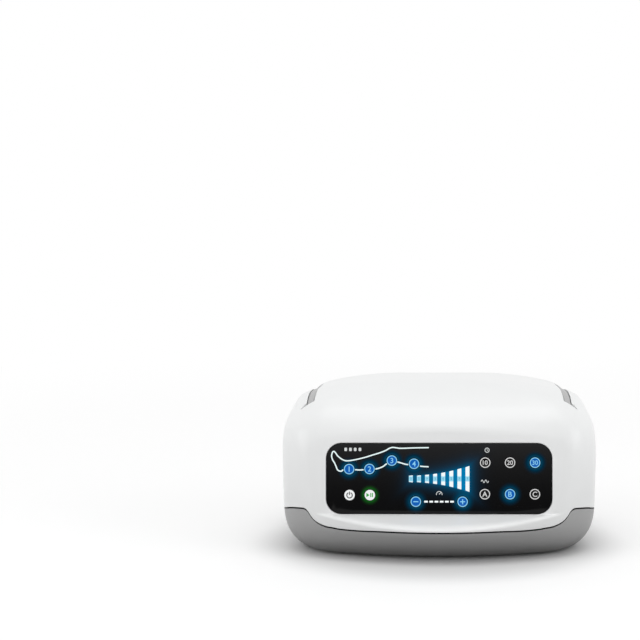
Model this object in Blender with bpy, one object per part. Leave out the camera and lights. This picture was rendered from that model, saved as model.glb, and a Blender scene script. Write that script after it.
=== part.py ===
"""Compression therapy pump: a white cover on a grey base tray, a lit key panel
let into the front, and the air pump, valves and boards inside.

Metres, +Z up. The front faces -Y, +X is the viewer's right, and the origin is
the middle of the footprint, on the surface that the pump stands on.
"""

import math

import bmesh
import bpy
from mathutils import Matrix, Vector

# Overall size
BODY_WIDTH = 0.280
BODY_DEPTH = 0.206
BODY_HEIGHT = 0.149

# Case
WALL = 0.0025
FLOOR_Z = 0.002
FRONT_CORNER_RADIUS = 0.030
BACK_CORNER_RADIUS = 0.035
CORNER_LIMIT_SHARE = 0.333
BACK_TAPER = 0.016
SEAM_GAP = 0.0004
SEAM_FRONT_Z = 0.0303
CROWN_POWER = 2.6
CROWN_CENTRE_Y = 0.010

# Case levels from the foot of the base to the shoulder, as shares: height of the
# body height, half width of half the body width, nose and back of half the body
# depth, and bow of the body depth
CASE_LEVEL_SHARES = (
    (0.0134, 0.879, -0.709, 0.126, 0.864),
    (0.0403, 0.907, -0.801, 0.150, 0.913),
    (0.0805, 0.942, -0.893, 0.180, 0.956),
    (0.134, 0.972, -0.961, 0.209, 0.985),
    (0.201, 0.990, -1.000, 0.228, 1.000),
    (0.275, 0.996, -0.990, 0.223, 1.000),
    (0.403, 0.998, -0.891, 0.160, 1.000),
    (0.570, 1.000, -0.767, 0.087, 0.990),
    (0.671, 0.997, -0.692, 0.053, 0.971),
    (0.752, 0.984, -0.626, 0.034, 0.932),
    (0.832, 0.944, -0.534, 0.019, 0.854),
    (0.893, 0.903, -0.437, 0.015, 0.748),
    (0.916, 0.881, -0.379, 0.010, 0.670),
)
# Step of the seam at a front corner: distance in from the side, and share of the way up from the
# front's height to the side's
SEAM_STEP = ((0.0200, 1.0), (0.0221, 0.95), (0.0242, 0.71), (0.0266, 0.39), (0.0311, 0.20),
             (0.0362, 0.07), (0.0430, 0.0))
# Height of the seam along a side: distance back from the front, and height
SEAM_SIDE = ((0.0373, 0.0437), (0.0507, 0.0413), (0.0726, 0.0367), (0.0910, 0.0360))
# Heights of the modelled rings, outside and inside, as shares of the body height
OUTER_RING_SHARES = (0.0134, 0.047, 0.09, 0.145, 0.195, 0.217, 0.235, 0.253, 0.27, 0.29,
                     0.40, 0.55, 0.65, 0.72, 0.78, 0.835, 0.88, 0.916)
INNER_RING_SHARES = (0.0134, 0.08, 0.18, 0.225, 0.27, 0.30, 0.55, 0.70, 0.80, 0.87, 0.916)
# Sizes of the crown's rings, as shares of the topmost ring
OUTER_CROWN_SHARES = (0.93, 0.80, 0.60, 0.32)
INNER_CROWN_SHARES = (0.85, 0.50)
# Points of a plan outline along front, side, back and each corner
OUTER_POINTS = (18, 3, 5, 5)
INNER_POINTS = (8, 2, 3, 3)

# Panel facet in the front of the cover
PANEL_LEAN = math.radians(10)
PANEL_FOOT_INSET = 0.0272
PANEL_FOOT_Z = 0.0409
LEDGE_LENGTH = 0.027
LEDGE_DROP = 0.0075
FACET_BLEND = 0.004
LEDGE_BLEND = 0.012

# Control panel
PANEL_WIDTH = 0.1996
PANEL_HEIGHT = 0.0626
PANEL_RADIUS = 0.0135
PANEL_THICKNESS = 0.0025
PANEL_RECESS = 0.0003
FIT_GAP = 0.0003
REBATE_WIDTH = 0.003
FRAME_WIDTH = 0.0035
FRAME_DEPTH = 0.0025

# Keys in the panel
KEY_DIAMETER = 0.0101
KEY_PROUD = 0.0003
KEY_FLANGE_DIAMETER = 0.0118
KEY_FLANGE_THICKNESS = 0.0009
KEY_STEM_DIAMETER = 0.0040
KEY_STEM_LENGTH = 0.0016
KEY_TRAVEL = 0.0005
KEY_EDGE = 0.0003
# Key places from the middle of the panel, in panel widths and panel heights
KEY_PLACE_SHARES = {
    "key_position_1": (-0.3982, 0.1338),
    "key_position_2": (-0.3079, 0.1366),
    "key_position_3": (-0.2088, 0.2549),
    "key_position_4": (-0.1106, 0.2099),
    "key_power": (-0.3964, -0.2324),
    "key_play_pause": (-0.3062, -0.2324),
    "key_pressure_minus": (-0.1027, -0.3254),
    "key_pressure_plus": (0.1044, -0.3254),
    "key_time_10": (0.2044, 0.2268),
    "key_time_20": (0.3142, 0.2268),
    "key_time_30": (0.4248, 0.2268),
    "key_mode_a": (0.2027, -0.2183),
    "key_mode_b": (0.3142, -0.2183),
    "key_mode_c": (0.4239, -0.2183),
}

# Pressure bars and level dashes of the light guides
BAR_COUNT = 8
BAR_PITCH = 0.00715
BAR_WIDTH = 0.0033
BAR_FIRST_X = -0.0249
BAR_CENTRE_Y = -0.0002
BAR_HEIGHT_SHARES = (0.289, 0.296, 0.352, 0.423, 0.522, 0.656, 0.826, 1.0)
BAR_TALLEST = 0.0223
BAR_SLANT_SHARE = 0.055
DASH_COUNT = 6
DASH_ROW_CLEARANCE = 0.00249892
DASH_GAP = 0.0017
DASH_HEIGHT = 0.0015
GUIDE_MARGIN = 0.0008
GUIDE_LEDGE = 0.0004

# Panel carrier and key board
CARRIER_THICKNESS = 0.0020
BOARD_THICKNESS = 0.0016
SWITCH_SIZE = 0.0050
SWITCH_HEIGHT = 0.0016
SWITCH_CLEARANCE = 0.00015
DOME_SHEET_THICKNESS = 0.0004
KEY_BOARD_SIDE_INSET = 0.0068
KEY_BOARD_END_INSET = 0.0053
STANDOFF_DIAMETER = 0.0050
RECEIVER_INSET = 0.030
RECEIVER_WIDTH = 0.0060
RECEIVER_DEPTH = 0.0030
RECEIVER_HEIGHT = 0.0030
STAKE_DIAMETER = 0.0024
STAKE_PROUD = 0.0008
STAKE_SPREAD_SHARE = 0.333

# Grooves in the shoulders and the grey strips let into them
GROOVE_SIDE_INSET = 0.0254
GROOVE_WIDTH = 0.0062
GROOVE_CROWN_DROP = 0.022
GROOVE_FRONT_INSET = 0.0685
GROOVE_BACK_INSET = 0.053
GROOVE_TOE_IN = 0.0066
GROOVE_NOTCH = 0.0056
GROOVE_NOTCH_FORWARD = 0.0025
GROOVE_NOTCH_BACK = 0.0015
LINER_DROP = 0.0010

# Feet and screws
FOOT_DIAMETER = 0.016
FOOT_CHAMFER = 0.001
FOOT_SEAT = 0.0012
FOOT_SIDE_INSET = 0.062
FOOT_FRONT_INSET = 0.067
FOOT_BACK_INSET = 0.041
POST_DIAMETER = 0.0105
BOSS_DIAMETER = 0.008
POST_TOP_Z = 0.030
POST_SIDE_INSET = 0.040
POST_FRONT_Y = -0.034
POST_BACK_Y = 0.060
CASE_SHANK_DIAMETER = 0.0032
CASE_BORE_DIAMETER = 0.0040
CASE_HEAD_DIAMETER = 0.0066
CASE_COUNTERBORE_DIAMETER = 0.0076
CASE_COUNTERBORE_DEPTH = 0.014
CASE_HEAD_HEIGHT = 0.0022
CASE_HEAD_CHAMFER = 0.0007
CASE_SCREW_REACH = 0.010
BORE_EXTRA = 0.002

# Rear connectors
REAR_PAD_DEPTH = 0.012
REAR_PAD_BOTTOM_Z = 0.010
REAR_PAD_TOP_Z = 0.0335
REAR_Z = 0.0222
OUTLET_X = (-0.057, -0.018)
OUTLET_WIDTH = 0.032
OUTLET_HEIGHT = 0.014
OUTLET_CAVITY_WIDTH = 0.026
OUTLET_CAVITY_HEIGHT = 0.0085
OUTLET_CAVITY_DEPTH = 0.0082
OUTLET_CAVITY_RADIUS = 0.0028
OUTLET_LUMEN_COUNT = 4
OUTLET_LUMEN_PITCH = 0.0062
OUTLET_LUMEN_DIAMETER = 0.0030
CONNECTOR_RECESS = 0.0028
FLANGE_MARGIN = 0.0025
FLANGE_THICKNESS = 0.0020
INLET_X = 0.060
INLET_WIDTH = 0.022
INLET_HEIGHT = 0.0135
INLET_CAVITY_WIDTH = 0.0164
INLET_CAVITY_HEIGHT = 0.0090
INLET_CAVITY_DEPTH = 0.0120
INLET_CAVITY_RADIUS = 0.0041
INLET_PIN_DIAMETER = 0.0023
INLET_PIN_PITCH = 0.0086
INLET_PIN_SHORT = 0.0046
INLET_BODY_DEPTH = 0.016

# Cooling fan
FAN_SIZE = 0.036
FAN_THICKNESS = 0.0100
FAN_X = 0.026
FAN_INSET = 0.0275
FAN_BORE = 0.0330
FAN_HUB_DIAMETER = 0.014
FAN_HUB_THICKNESS = 0.0075
FAN_BLADES = 7
FAN_BLADE_THICKNESS = 0.0009
FAN_BLADE_WIDTH = 0.0060
FAN_BLADE_LEAN = math.radians(45)
FAN_TIP_GAP = 0.0018
FAN_AXLE_DIAMETER = 0.0040
FAN_SPOKE_WIDTH = 0.0026
FAN_BACKPLATE = 0.0016
FAN_RIB = 0.0018
FAN_RIB_HEIGHT = 0.006
VENT_COUNT = 6
VENT_PITCH = 0.0052
VENT_WIDTH = 0.0024
VENT_HEIGHT = 0.016
INTAKE_X = 0.010
INTAKE_Y = -0.0144

# Valve block with its four solenoid valves
VALVE_BLOCK_WIDTH = 0.078
VALVE_BLOCK_DEPTH = 0.022
VALVE_BLOCK_HEIGHT = 0.020
VALVE_BLOCK_X = -0.0375
VALVE_COUNT = 4
COIL_DIAMETER = 0.016
COIL_HEIGHT = 0.024
COIL_PITCH = 0.019
COIL_BORE = 0.0052
YOKE_THICKNESS = 0.0016
PLUNGER_DIAMETER = 0.0044
PLUNGER_LENGTH = 0.016
PLUNGER_HEAD_DIAMETER = 0.0080
PLUNGER_HEAD_HEIGHT = 0.0015
SUPPORT_RIB = 0.0025
SUPPORT_SPREAD_SHARE = 0.333

# Air pump
PUMP_X = -0.052
PUMP_Y = 0.014
CRADLE_LENGTH = 0.092
CRADLE_WIDTH = 0.056
CRADLE_THICKNESS = 0.0045
CRADLE_LIP = 0.0030
CRADLE_LIP_HEIGHT = 0.0035
HEAD_LENGTH = 0.040
HEAD_WIDTH = 0.048
HEAD_HEIGHT = 0.048
HEAD_WALL = 0.003
HEAD_CHAMBER_LENGTH = 0.028
HEAD_PORT_DIAMETER = 0.0060
HEAD_PORT_LENGTH = 0.005
HEAD_PORT_DROP = 0.010
MOTOR_DIAMETER = 0.036
MOTOR_LENGTH = 0.038
MOTOR_WALL = 0.0018
MOTOR_AXIS_Z = 0.0305
MOTOR_TERMINAL_OFFSET = 0.009
SHAFT_DIAMETER = 0.0032
SHAFT_BORE = 0.0038
ARMATURE_DIAMETER = 0.024
ARMATURE_LENGTH = 0.024
ECCENTRIC_DIAMETER = 0.014
ECCENTRIC_THICKNESS = 0.008
ECCENTRIC_OFFSET = 0.0020

# Boards on the floor
MAIN_BOARD_LENGTH = 0.120
MAIN_BOARD_WIDTH = 0.030
MAIN_BOARD_POST_GAP = 0.020
MAIN_BOARD_Y = -0.040
MAIN_BOARD_Z = 0.0105
SENSOR_SIZE = 0.010
SENSOR_HEIGHT = 0.0060
SENSOR_PORT_DIAMETER = 0.0030
SENSOR_PORT_LENGTH = 0.005
POWER_BOARD_LENGTH = 0.084
POWER_BOARD_WIDTH = 0.062
POWER_BOARD_X = 0.056
POWER_BOARD_Y = 0.022
TRANSFORMER_LENGTH = 0.030
TRANSFORMER_WIDTH = 0.026
TRANSFORMER_HEIGHT = 0.026
CAPACITOR_DIAMETER = 0.016
CAPACITOR_HEIGHT = 0.026
BOARD_POST_DIAMETER = 0.0065
BOARD_POST_INSET = 0.0045

# Tubes and wires
HOSE_DIAMETER = 0.0060
SENSOR_HOSE_DIAMETER = 0.0034
LEAD_DIAMETER = 0.0034
LEAD_START = 0.008
BEND_LIMIT_SHARE = 0.45
BEND_POINTS = 5
RIBBON_WIDTH = 0.020
RIBBON_THICKNESS = 0.0008
RIBBON_BEND = 0.008
RIBBON_SOCKET_SHARE = 0.25

# Colours, linear
WHITE = (0.84, 0.84, 0.84)
BASE_GREY = (0.24, 0.24, 0.24)
GROOVE_GREY = (0.40, 0.40, 0.41)
BLACK = (0.010, 0.010, 0.011)
LIT_BLUE = (0.0, 0.08, 0.46)
UNLIT = (0.03, 0.03, 0.032)
POWER_WHITE = (0.85, 0.85, 0.85)
START_GREEN = (0.1, 0.6, 0.1)
GUIDE_WHITE = (0.8, 0.9, 1.0)
DARK_PLASTIC = (0.04, 0.04, 0.045)
PUMP_GREY = (0.16, 0.16, 0.17)
RIBBON_GREY = (0.45, 0.45, 0.46)
RUBBER = (0.02, 0.02, 0.02)
CLEAR_SILICONE = (0.62, 0.66, 0.68)
GREEN_BOARD = (0.02, 0.16, 0.07)
STEEL = (0.60, 0.61, 0.62)
COPPER = (0.50, 0.20, 0.07)
BRASS = (0.55, 0.38, 0.10)
CREAM = (0.62, 0.58, 0.45)
RED = (0.4, 0.03, 0.03)
LIT_KEYS = {"key_position_1", "key_position_2", "key_position_3", "key_position_4", "key_pressure_minus",
            "key_pressure_plus", "key_time_30", "key_mode_b"}

# Modelling
OVERRUN = 0.004
SHARP_ANGLE = math.radians(40)
ROUND_SEGMENTS = 16
SMALL_SEGMENTS = 8
CORNER_SEGMENTS = 4
GRID_MARGIN = 0.02

# Places on the case, from its sides, front, back and top
PANEL_FOOT_Y = PANEL_FOOT_INSET - BODY_DEPTH / 2
GROOVE_X = BODY_WIDTH / 2 - GROOVE_SIDE_INSET
GROOVE_FLOOR_Z = BODY_HEIGHT - GROOVE_CROWN_DROP
GROOVE_FRONT_Y = GROOVE_FRONT_INSET - BODY_DEPTH / 2
GROOVE_BACK_Y = BODY_DEPTH / 2 - GROOVE_BACK_INSET
FOOT_X = BODY_WIDTH / 2 - FOOT_SIDE_INSET
FOOT_FRONT_Y = FOOT_FRONT_INSET - BODY_DEPTH / 2
FOOT_BACK_Y = BODY_DEPTH / 2 - FOOT_BACK_INSET
POST_X = BODY_WIDTH / 2 - POST_SIDE_INSET
REAR_PAD_INNER_Y = BODY_DEPTH / 2 - REAR_PAD_DEPTH
OUTLET_FACE_Y = BODY_DEPTH / 2 - CONNECTOR_RECESS
FAN_Y = BODY_DEPTH / 2 - FAN_INSET

# Places along the panel, from its edges and between the pressure keys
KEY_BOARD_WIDTH = PANEL_WIDTH - 2 * KEY_BOARD_SIDE_INSET
KEY_BOARD_HEIGHT = PANEL_HEIGHT - 2 * KEY_BOARD_END_INSET
RECEIVER_X = PANEL_WIDTH / 2 - RECEIVER_INSET
MINUS_KEY_X = KEY_PLACE_SHARES["key_pressure_minus"][0] * PANEL_WIDTH
DASH_ROW_HALF = -MINUS_KEY_X - KEY_DIAMETER / 2 - DASH_ROW_CLEARANCE
DASH_WIDTH = (2 * DASH_ROW_HALF - (DASH_COUNT - 1) * DASH_GAP) / DASH_COUNT
DASH_PITCH = DASH_WIDTH + DASH_GAP

# Depths in the panel's frame, whose z is zero on the facet and runs outward
PANEL_BACK = -PANEL_RECESS - PANEL_THICKNESS
REBATE_Z = PANEL_BACK - FIT_GAP
FRAME_BACK = REBATE_Z - FRAME_DEPTH
CARRIER_FRONT = FRAME_BACK - FIT_GAP
CARRIER_BACK = CARRIER_FRONT - CARRIER_THICKNESS
STEM_END = CARRIER_BACK - KEY_STEM_LENGTH
SWITCH_TOP = STEM_END - KEY_TRAVEL - SWITCH_CLEARANCE
BOARD_FRONT = SWITCH_TOP - SWITCH_HEIGHT - FIT_GAP
BOARD_BACK = BOARD_FRONT - BOARD_THICKNESS

# Heights inside the base
FLOOR_TOP = FLOOR_Z + WALL
CRADLE_TOP = FLOOR_TOP + FIT_GAP + CRADLE_THICKNESS
HEAD_BASE_Z = CRADLE_TOP + FIT_GAP
BOARD_TOP_Z = MAIN_BOARD_Z + BOARD_THICKNESS + FIT_GAP
FAN_AXIS_Z = FLOOR_TOP + FIT_GAP + FAN_SIZE / 2

# Places along the base
FLANGE_FRONT_Y = REAR_PAD_INNER_Y - FIT_GAP - FLANGE_THICKNESS
VALVE_BLOCK_Y = FLANGE_FRONT_Y - FIT_GAP - VALVE_BLOCK_DEPTH / 2
HEAD_X = PUMP_X - (MOTOR_LENGTH + FIT_GAP) / 2
MAIN_BOARD_X = POST_X - MAIN_BOARD_POST_GAP - MAIN_BOARD_LENGTH / 2
SENSOR_STUB_X = VALVE_BLOCK_X + VALVE_BLOCK_WIDTH / 2 - 2 * SENSOR_PORT_DIAMETER


def monotone(places, values, place):
    """Smooth value at a place of a table, without overshoot between its rows."""
    place = min(max(place, places[0]), places[-1])
    steps = [b - a for a, b in zip(places, places[1:])]
    slopes = [(b - a) / s for a, b, s in zip(values, values[1:], steps)]
    tangents = [slopes[0]]
    for before, after in zip(slopes, slopes[1:]):
        mixed = before * after
        tangents.append(2 * mixed / (before + after) if mixed > 0 else 0)
    tangents.append(slopes[-1])
    row = 0
    while place > places[row + 1]:
        row += 1
    t = (place - places[row]) / steps[row]
    s = 1 - t
    level = values[row] * s * s * (1 + 2 * t) + values[row + 1] * t * t * (1 + 2 * s)
    return level + steps[row] * t * s * (tangents[row] * s - tangents[row + 1] * t)


def case_level(share):
    """Half width, nose y, bow and back y of the case at a share of its height."""
    places = [row[0] for row in CASE_LEVEL_SHARES]
    columns = [[row[column] for row in CASE_LEVEL_SHARES] for column in range(1, 5)]
    half, nose, bow, back = [monotone(places, values, share) for values in columns]
    return half * BODY_WIDTH / 2, nose * BODY_DEPTH / 2, bow * BODY_DEPTH, back * BODY_DEPTH / 2


def arc(centre, radius, start, end, count):
    """Points on an arc, angles in degrees."""
    angles = [math.radians(start + (end - start) * step / count) for step in range(count + 1)]
    return [(centre[0] + radius * math.cos(a), centre[1] + radius * math.sin(a)) for a in angles]


def between(first, last, count):
    """Points strictly between two points."""
    shares = [step / count for step in range(1, count)]
    return [tuple(a + (b - a) * share for a, b in zip(first, last)) for share in shares]


def plan_outline(half, nose, bow, back, counts):
    """Plan outline of the case, running round from the front left corner."""
    front = nose + bow
    limit = (back - front) * CORNER_LIMIT_SHARE
    front_radius, back_radius = min(FRONT_CORNER_RADIUS, limit), min(BACK_CORNER_RADIUS, limit)
    rear_half = half - BACK_TAPER
    front_count, side_count, back_count, corner_count = counts
    corners = [arc((-half + front_radius, front + front_radius), front_radius, 180, 270, corner_count),
               arc((half - front_radius, front + front_radius), front_radius, 270, 360, corner_count),
               arc((rear_half - back_radius, back - back_radius), back_radius, 0, 90, corner_count),
               arc((-rear_half + back_radius, back - back_radius), back_radius, 90, 180, corner_count)]
    runs = (front_count, side_count, back_count, side_count)
    outline = []
    for index, corner in enumerate(corners):
        outline += corner + between(corner[-1], corners[(index + 1) % len(corners)][0], runs[index])
    bowed = []
    for x, y in outline:
        reach = max(0, (back - y) / (back - front))
        bowed.append((x, y - bow * (1 - (x / half) ** 2) * reach ** 2))
    return bowed


def soft_max(a, b, width):
    """The larger of two values, with a rounded change from one to the other."""
    overlap = max(0, (width - abs(a - b)) / width)
    return max(a, b) + width * overlap * overlap / 4


def facet_y(z, inset):
    """Front face of the panel facet, and of the ledge below it, at a height."""
    foot = PANEL_FOOT_Y + inset / math.cos(PANEL_LEAN)
    if z >= PANEL_FOOT_Z:
        return foot + (z - PANEL_FOOT_Z) * math.tan(PANEL_LEAN)
    return foot - (PANEL_FOOT_Z - z) * LEDGE_LENGTH / LEDGE_DROP


def facet_blend(z):
    """Width of the rounding where the case meets the facet: wider down over the ledge."""
    share = min(max((PANEL_FOOT_Z - z) / LEDGE_DROP, 0), 1)
    return FACET_BLEND + (LEDGE_BLEND - FACET_BLEND) * share


def case_ring(share, inset, counts):
    """One ring of the case, moved inward by the inset."""
    half, nose, bow, back = case_level(share)
    lowest = CASE_LEVEL_SHARES[0][0]
    z = FLOOR_Z + inset + (share - lowest) / (1 - lowest) * (BODY_HEIGHT - FLOOR_Z - 2 * inset)
    ring = []
    for x, y in plan_outline(half - inset, nose + inset, bow, back - inset, counts):
        if y < 0:
            y = soft_max(y, facet_y(z, inset), facet_blend(z))
        ring.append((x, y, z))
    return ring


def crown_rings(rim, top_z, shares):
    """Rings that close the case with a low dome."""
    rings = []
    rim_z = rim[0][2]
    for share in shares:
        z = rim_z + (top_z - rim_z) * (1 - share ** CROWN_POWER)
        rings.append([(x * share, CROWN_CENTRE_Y + (y - CROWN_CENTRE_Y) * share, z) for x, y, _ in rim])
    return rings


def new_object(name, mesh):
    obj = bpy.data.objects.new(name, mesh)
    bpy.context.scene.collection.objects.link(obj)
    return obj


def mesh_object(name, verts, faces):
    """Object from vertices and faces, with its normals facing out and its bent faces split flat."""
    mesh = bpy.data.meshes.new(name)
    mesh.from_pydata([tuple(v) for v in verts], [], faces)
    bm = bmesh.new()
    bm.from_mesh(mesh)
    bmesh.ops.recalc_face_normals(bm, faces=bm.faces)
    bmesh.ops.triangulate(bm, faces=[face for face in bm.faces if len(face.verts) == 4])
    bm.to_mesh(mesh)
    bm.free()
    return new_object(name, mesh)


def case_solid(name, inset):
    """Closed solid of the whole case, before it is hollowed and parted; coarser where it isn't seen."""
    if inset < WALL / 2:
        counts, ring_shares, crown_shares = OUTER_POINTS, OUTER_RING_SHARES, OUTER_CROWN_SHARES
    else:
        counts, ring_shares, crown_shares = INNER_POINTS, INNER_RING_SHARES, INNER_CROWN_SHARES
    rings = [case_ring(share, inset, counts) for share in ring_shares]
    rings += crown_rings(rings[-1], BODY_HEIGHT - inset, crown_shares)
    count = len(rings[0])
    verts = [point for ring in rings for point in ring]
    faces = [tuple(range(count))]
    for row in range(len(rings) - 1):
        for i in range(count):
            j = (i + 1) % count
            faces.append((row * count + i, row * count + j, (row + 1) * count + j, (row + 1) * count + i))
    verts.append((0, CROWN_CENTRE_Y, BODY_HEIGHT - inset))
    last = (len(rings) - 1) * count
    faces += [(last + i, last + (i + 1) % count, len(verts) - 1) for i in range(count)]
    return mesh_object(name, verts, faces)


def seam_z(x, y):
    """Height of the seam between cover and base: low across the front, high all round the rest."""
    step_places, shares = zip(*SEAM_STEP)
    side_places, heights = zip(*SEAM_SIDE)
    share = 1 if y > 0 else monotone(step_places, shares, BODY_WIDTH / 2 - abs(x))
    return SEAM_FRONT_Z + (monotone(side_places, heights, y + BODY_DEPTH / 2) - SEAM_FRONT_Z) * share


def seam_cutter(name, offset, far_z):
    """Closed block with the seam as one face and a flat far face."""
    half_x, half_y = BODY_WIDTH / 2 + GRID_MARGIN, BODY_DEPTH / 2 + GRID_MARGIN
    rights = [BODY_WIDTH / 2 - inset for inset, _ in reversed(SEAM_STEP)] + [half_x]
    xs = [-x for x in reversed(rights)] + rights
    ys = [-half_y] + [inset - BODY_DEPTH / 2 for inset, _ in SEAM_SIDE] + [half_y]
    wide = len(xs)
    near = [(x, y, seam_z(x, y) + offset) for y in ys for x in xs]
    far = [(x, y, far_z) for y in ys for x in xs]
    faces = []
    for row in range(len(ys) - 1):
        for column in range(wide - 1):
            a = row * wide + column
            quad = (a, a + 1, a + 1 + wide, a + wide)
            faces.append(quad)
            faces.append(tuple(index + len(near) for index in reversed(quad)))
    rim = list(range(wide)) + [row * wide + wide - 1 for row in range(1, len(ys))]
    rim += [(len(ys) - 1) * wide + column for column in range(wide - 2, -1, -1)]
    rim += [row * wide for row in range(len(ys) - 2, 0, -1)]
    for a, b in zip(rim, rim[1:] + rim[:1]):
        faces.append((a, a + len(near), b + len(near), b))
    return mesh_object(name, near + far, faces)


def prism(name, outline, low, high, frame=Matrix()):
    """Outline in a frame's x and y, extruded along the frame's z."""
    count = len(outline)
    verts = [frame @ Vector((x, y, z)) for z in (low, high) for x, y in outline]
    faces = [tuple(range(count))[::-1], tuple(range(count, 2 * count))]
    faces += [(i, (i + 1) % count, (i + 1) % count + count, i + count) for i in range(count)]
    return mesh_object(name, verts, faces)


def spread(count, pitch):
    """Places of a row of things, centred on zero."""
    return [(index - (count - 1) / 2) * pitch for index in range(count)]


def rectangle(width, height, centre=(0, 0)):
    x, y = centre
    return [(x - width / 2, y - height / 2), (x + width / 2, y - height / 2),
            (x + width / 2, y + height / 2), (x - width / 2, y + height / 2)]


def circle(diameter, centre=(0, 0), segments=ROUND_SEGMENTS):
    return arc(centre, diameter / 2, 0, 360, segments)[:-1]


def rounded_rectangle(width, height, radius, centre=(0, 0), points=CORNER_SEGMENTS):
    x, y = centre
    outline = []
    for sign_x, sign_y, start in ((1, 1, 0), (-1, 1, 90), (-1, -1, 180), (1, -1, 270)):
        corner = (x + sign_x * (width / 2 - radius), y + sign_y * (height / 2 - radius))
        outline += arc(corner, radius, start, start + 90, points)
    return outline


def block(name, size, base_centre, frame=Matrix()):
    """Box from the middle of its base face."""
    x, y, z = base_centre
    return prism(name, rectangle(size[0], size[1], (x, y)), z, z + size[2], frame)


def turned(name, profile, frame=Matrix(), segments=ROUND_SEGMENTS):
    """Solid of revolution round the frame's z, from (radius, z) rows; its ends close on the axis."""
    verts, faces, rows = [], [], []
    for radius, z in profile:
        if rows and (radius, z) == profile[0]:
            rows.append(rows[0])
        elif radius == 0:
            rows.append([len(verts)] * segments)
            verts.append(frame @ Vector((0, 0, z)))
        else:
            rows.append(list(range(len(verts), len(verts) + segments)))
            verts += [frame @ Vector((x, y, z)) for x, y in circle(2 * radius, (0, 0), segments)]
    for low, high in zip(rows, rows[1:]):
        for i in range(segments):
            j = (i + 1) % segments
            loop = []
            for index in (low[i], low[j], high[j], high[i]):
                if index not in loop:
                    loop.append(index)
            faces.append(tuple(loop))
    obj = mesh_object(name, verts, faces)
    smooth(obj)
    return obj


def smooth(obj):
    """Round sides shade smooth, and edges over the sharp angle stay sharp."""
    bm = bmesh.new()
    bm.from_mesh(obj.data)
    for face in bm.faces:
        face.smooth = True
    for edge in bm.edges:
        edge.smooth = edge.calc_face_angle(math.pi) < SHARP_ANGLE
    bm.to_mesh(obj.data)
    bm.free()


def tube(name, points, diameter):
    """Round cord through the points."""
    curve = bpy.data.curves.new(name, "CURVE")
    curve.dimensions = "3D"
    curve.bevel_depth = diameter / 2
    curve.bevel_resolution = 2
    curve.use_fill_caps = True
    spline = curve.splines.new("POLY")
    spline.points.add(len(points) - 1)
    for point, place in zip(spline.points, points):
        point.co = (*place, 1)
    return new_object(name, curve)


def bent(points, reach):
    """Route along straight runs through the points, its corners rounded from this far on either side."""
    places = [Vector(point) for point in points]
    route = [places[0]]
    for before, corner, after in zip(places, places[1:], places[2:]):
        start, end = [corner + (other - corner).normalized()
                      * min(reach, (other - corner).length * BEND_LIMIT_SHARE) for other in (before, after)]
        for step in range(BEND_POINTS + 1):
            t = step / BEND_POINTS
            route.append(start * (1 - t) ** 2 + corner * 2 * t * (1 - t) + end * t ** 2)
    return route + [places[-1]]


def group(name, pieces):
    """Separate solids as one object."""
    bm = bmesh.new()
    for piece in pieces:
        bm.from_mesh(piece.data)
        bpy.data.objects.remove(piece)
    mesh = bpy.data.meshes.new(name)
    bm.to_mesh(mesh)
    bm.free()
    return new_object(name, mesh)


def combine(target, tool, operation):
    """Boolean with a tool that stays hidden in the scene."""
    modifier = target.modifiers.new(operation.title(), "BOOLEAN")
    modifier.operation = operation
    modifier.solver = "EXACT"
    modifier.object = tool
    tool.hide_render = True
    tool.display_type = "WIRE"
    return target


def finish(obj, colour, roughness, metallic=0.0, glow=None):
    """Give an object its own Principled material."""
    material = bpy.data.materials.new(obj.name)
    material.use_nodes = True
    shader = material.node_tree.nodes["Principled BSDF"]
    shader.inputs["Base Color"].default_value = (*colour, 1)
    shader.inputs["Roughness"].default_value = roughness
    shader.inputs["Metallic"].default_value = metallic
    if glow:
        shader.inputs["Emission Color"].default_value = (*glow, 1)
        shader.inputs["Emission Strength"].default_value = 1
    obj.data.materials.clear()
    obj.data.materials.append(material)
    return obj


def panel_frame():
    """Frame on the facet at the middle of the panel: x right, y up the panel, z outward."""
    up = Vector((0, math.sin(PANEL_LEAN), math.cos(PANEL_LEAN)))
    out = Vector((0, -math.cos(PANEL_LEAN), math.sin(PANEL_LEAN)))
    centre = Vector((0, PANEL_FOOT_Y, PANEL_FOOT_Z)) + up * PANEL_HEIGHT / 2
    columns = Matrix((Vector((1, 0, 0)), up, out)).transposed().to_4x4()
    return Matrix.Translation(centre) @ columns


def rear_frame(x, y, z):
    """Frame that looks at the back of the pump: x to the left of the front view, y up, z backward."""
    return Matrix.Translation((x, y, z)) @ Matrix(((-1, 0, 0), (0, 0, 1), (0, 1, 0))).to_4x4()


def key_places():
    return {name: (x * PANEL_WIDTH, y * PANEL_HEIGHT) for name, (x, y) in KEY_PLACE_SHARES.items()}


def bar_outlines(margin):
    """The pressure bars in the panel's plane; they grow to the right and slant at both ends."""
    outlines = []
    for index in range(BAR_COUNT):
        x = BAR_FIRST_X + index * BAR_PITCH
        left = BAR_TALLEST / 2 * (BAR_HEIGHT_SHARES[index] - BAR_SLANT_SHARE) + margin
        right = BAR_TALLEST / 2 * (BAR_HEIGHT_SHARES[index] + BAR_SLANT_SHARE) + margin
        half = BAR_WIDTH / 2 + margin
        outlines.append([(x - half, BAR_CENTRE_Y - left), (x + half, BAR_CENTRE_Y - right),
                         (x + half, BAR_CENTRE_Y + right), (x - half, BAR_CENTRE_Y + left)])
    return outlines


def dash_outlines(margin):
    """The level dashes between the minus and plus keys."""
    y = KEY_PLACE_SHARES["key_pressure_minus"][1] * PANEL_HEIGHT
    return [rectangle(DASH_WIDTH + 2 * margin, DASH_HEIGHT + 2 * margin, (x, y))
            for x in spread(DASH_COUNT, DASH_PITCH)]


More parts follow.
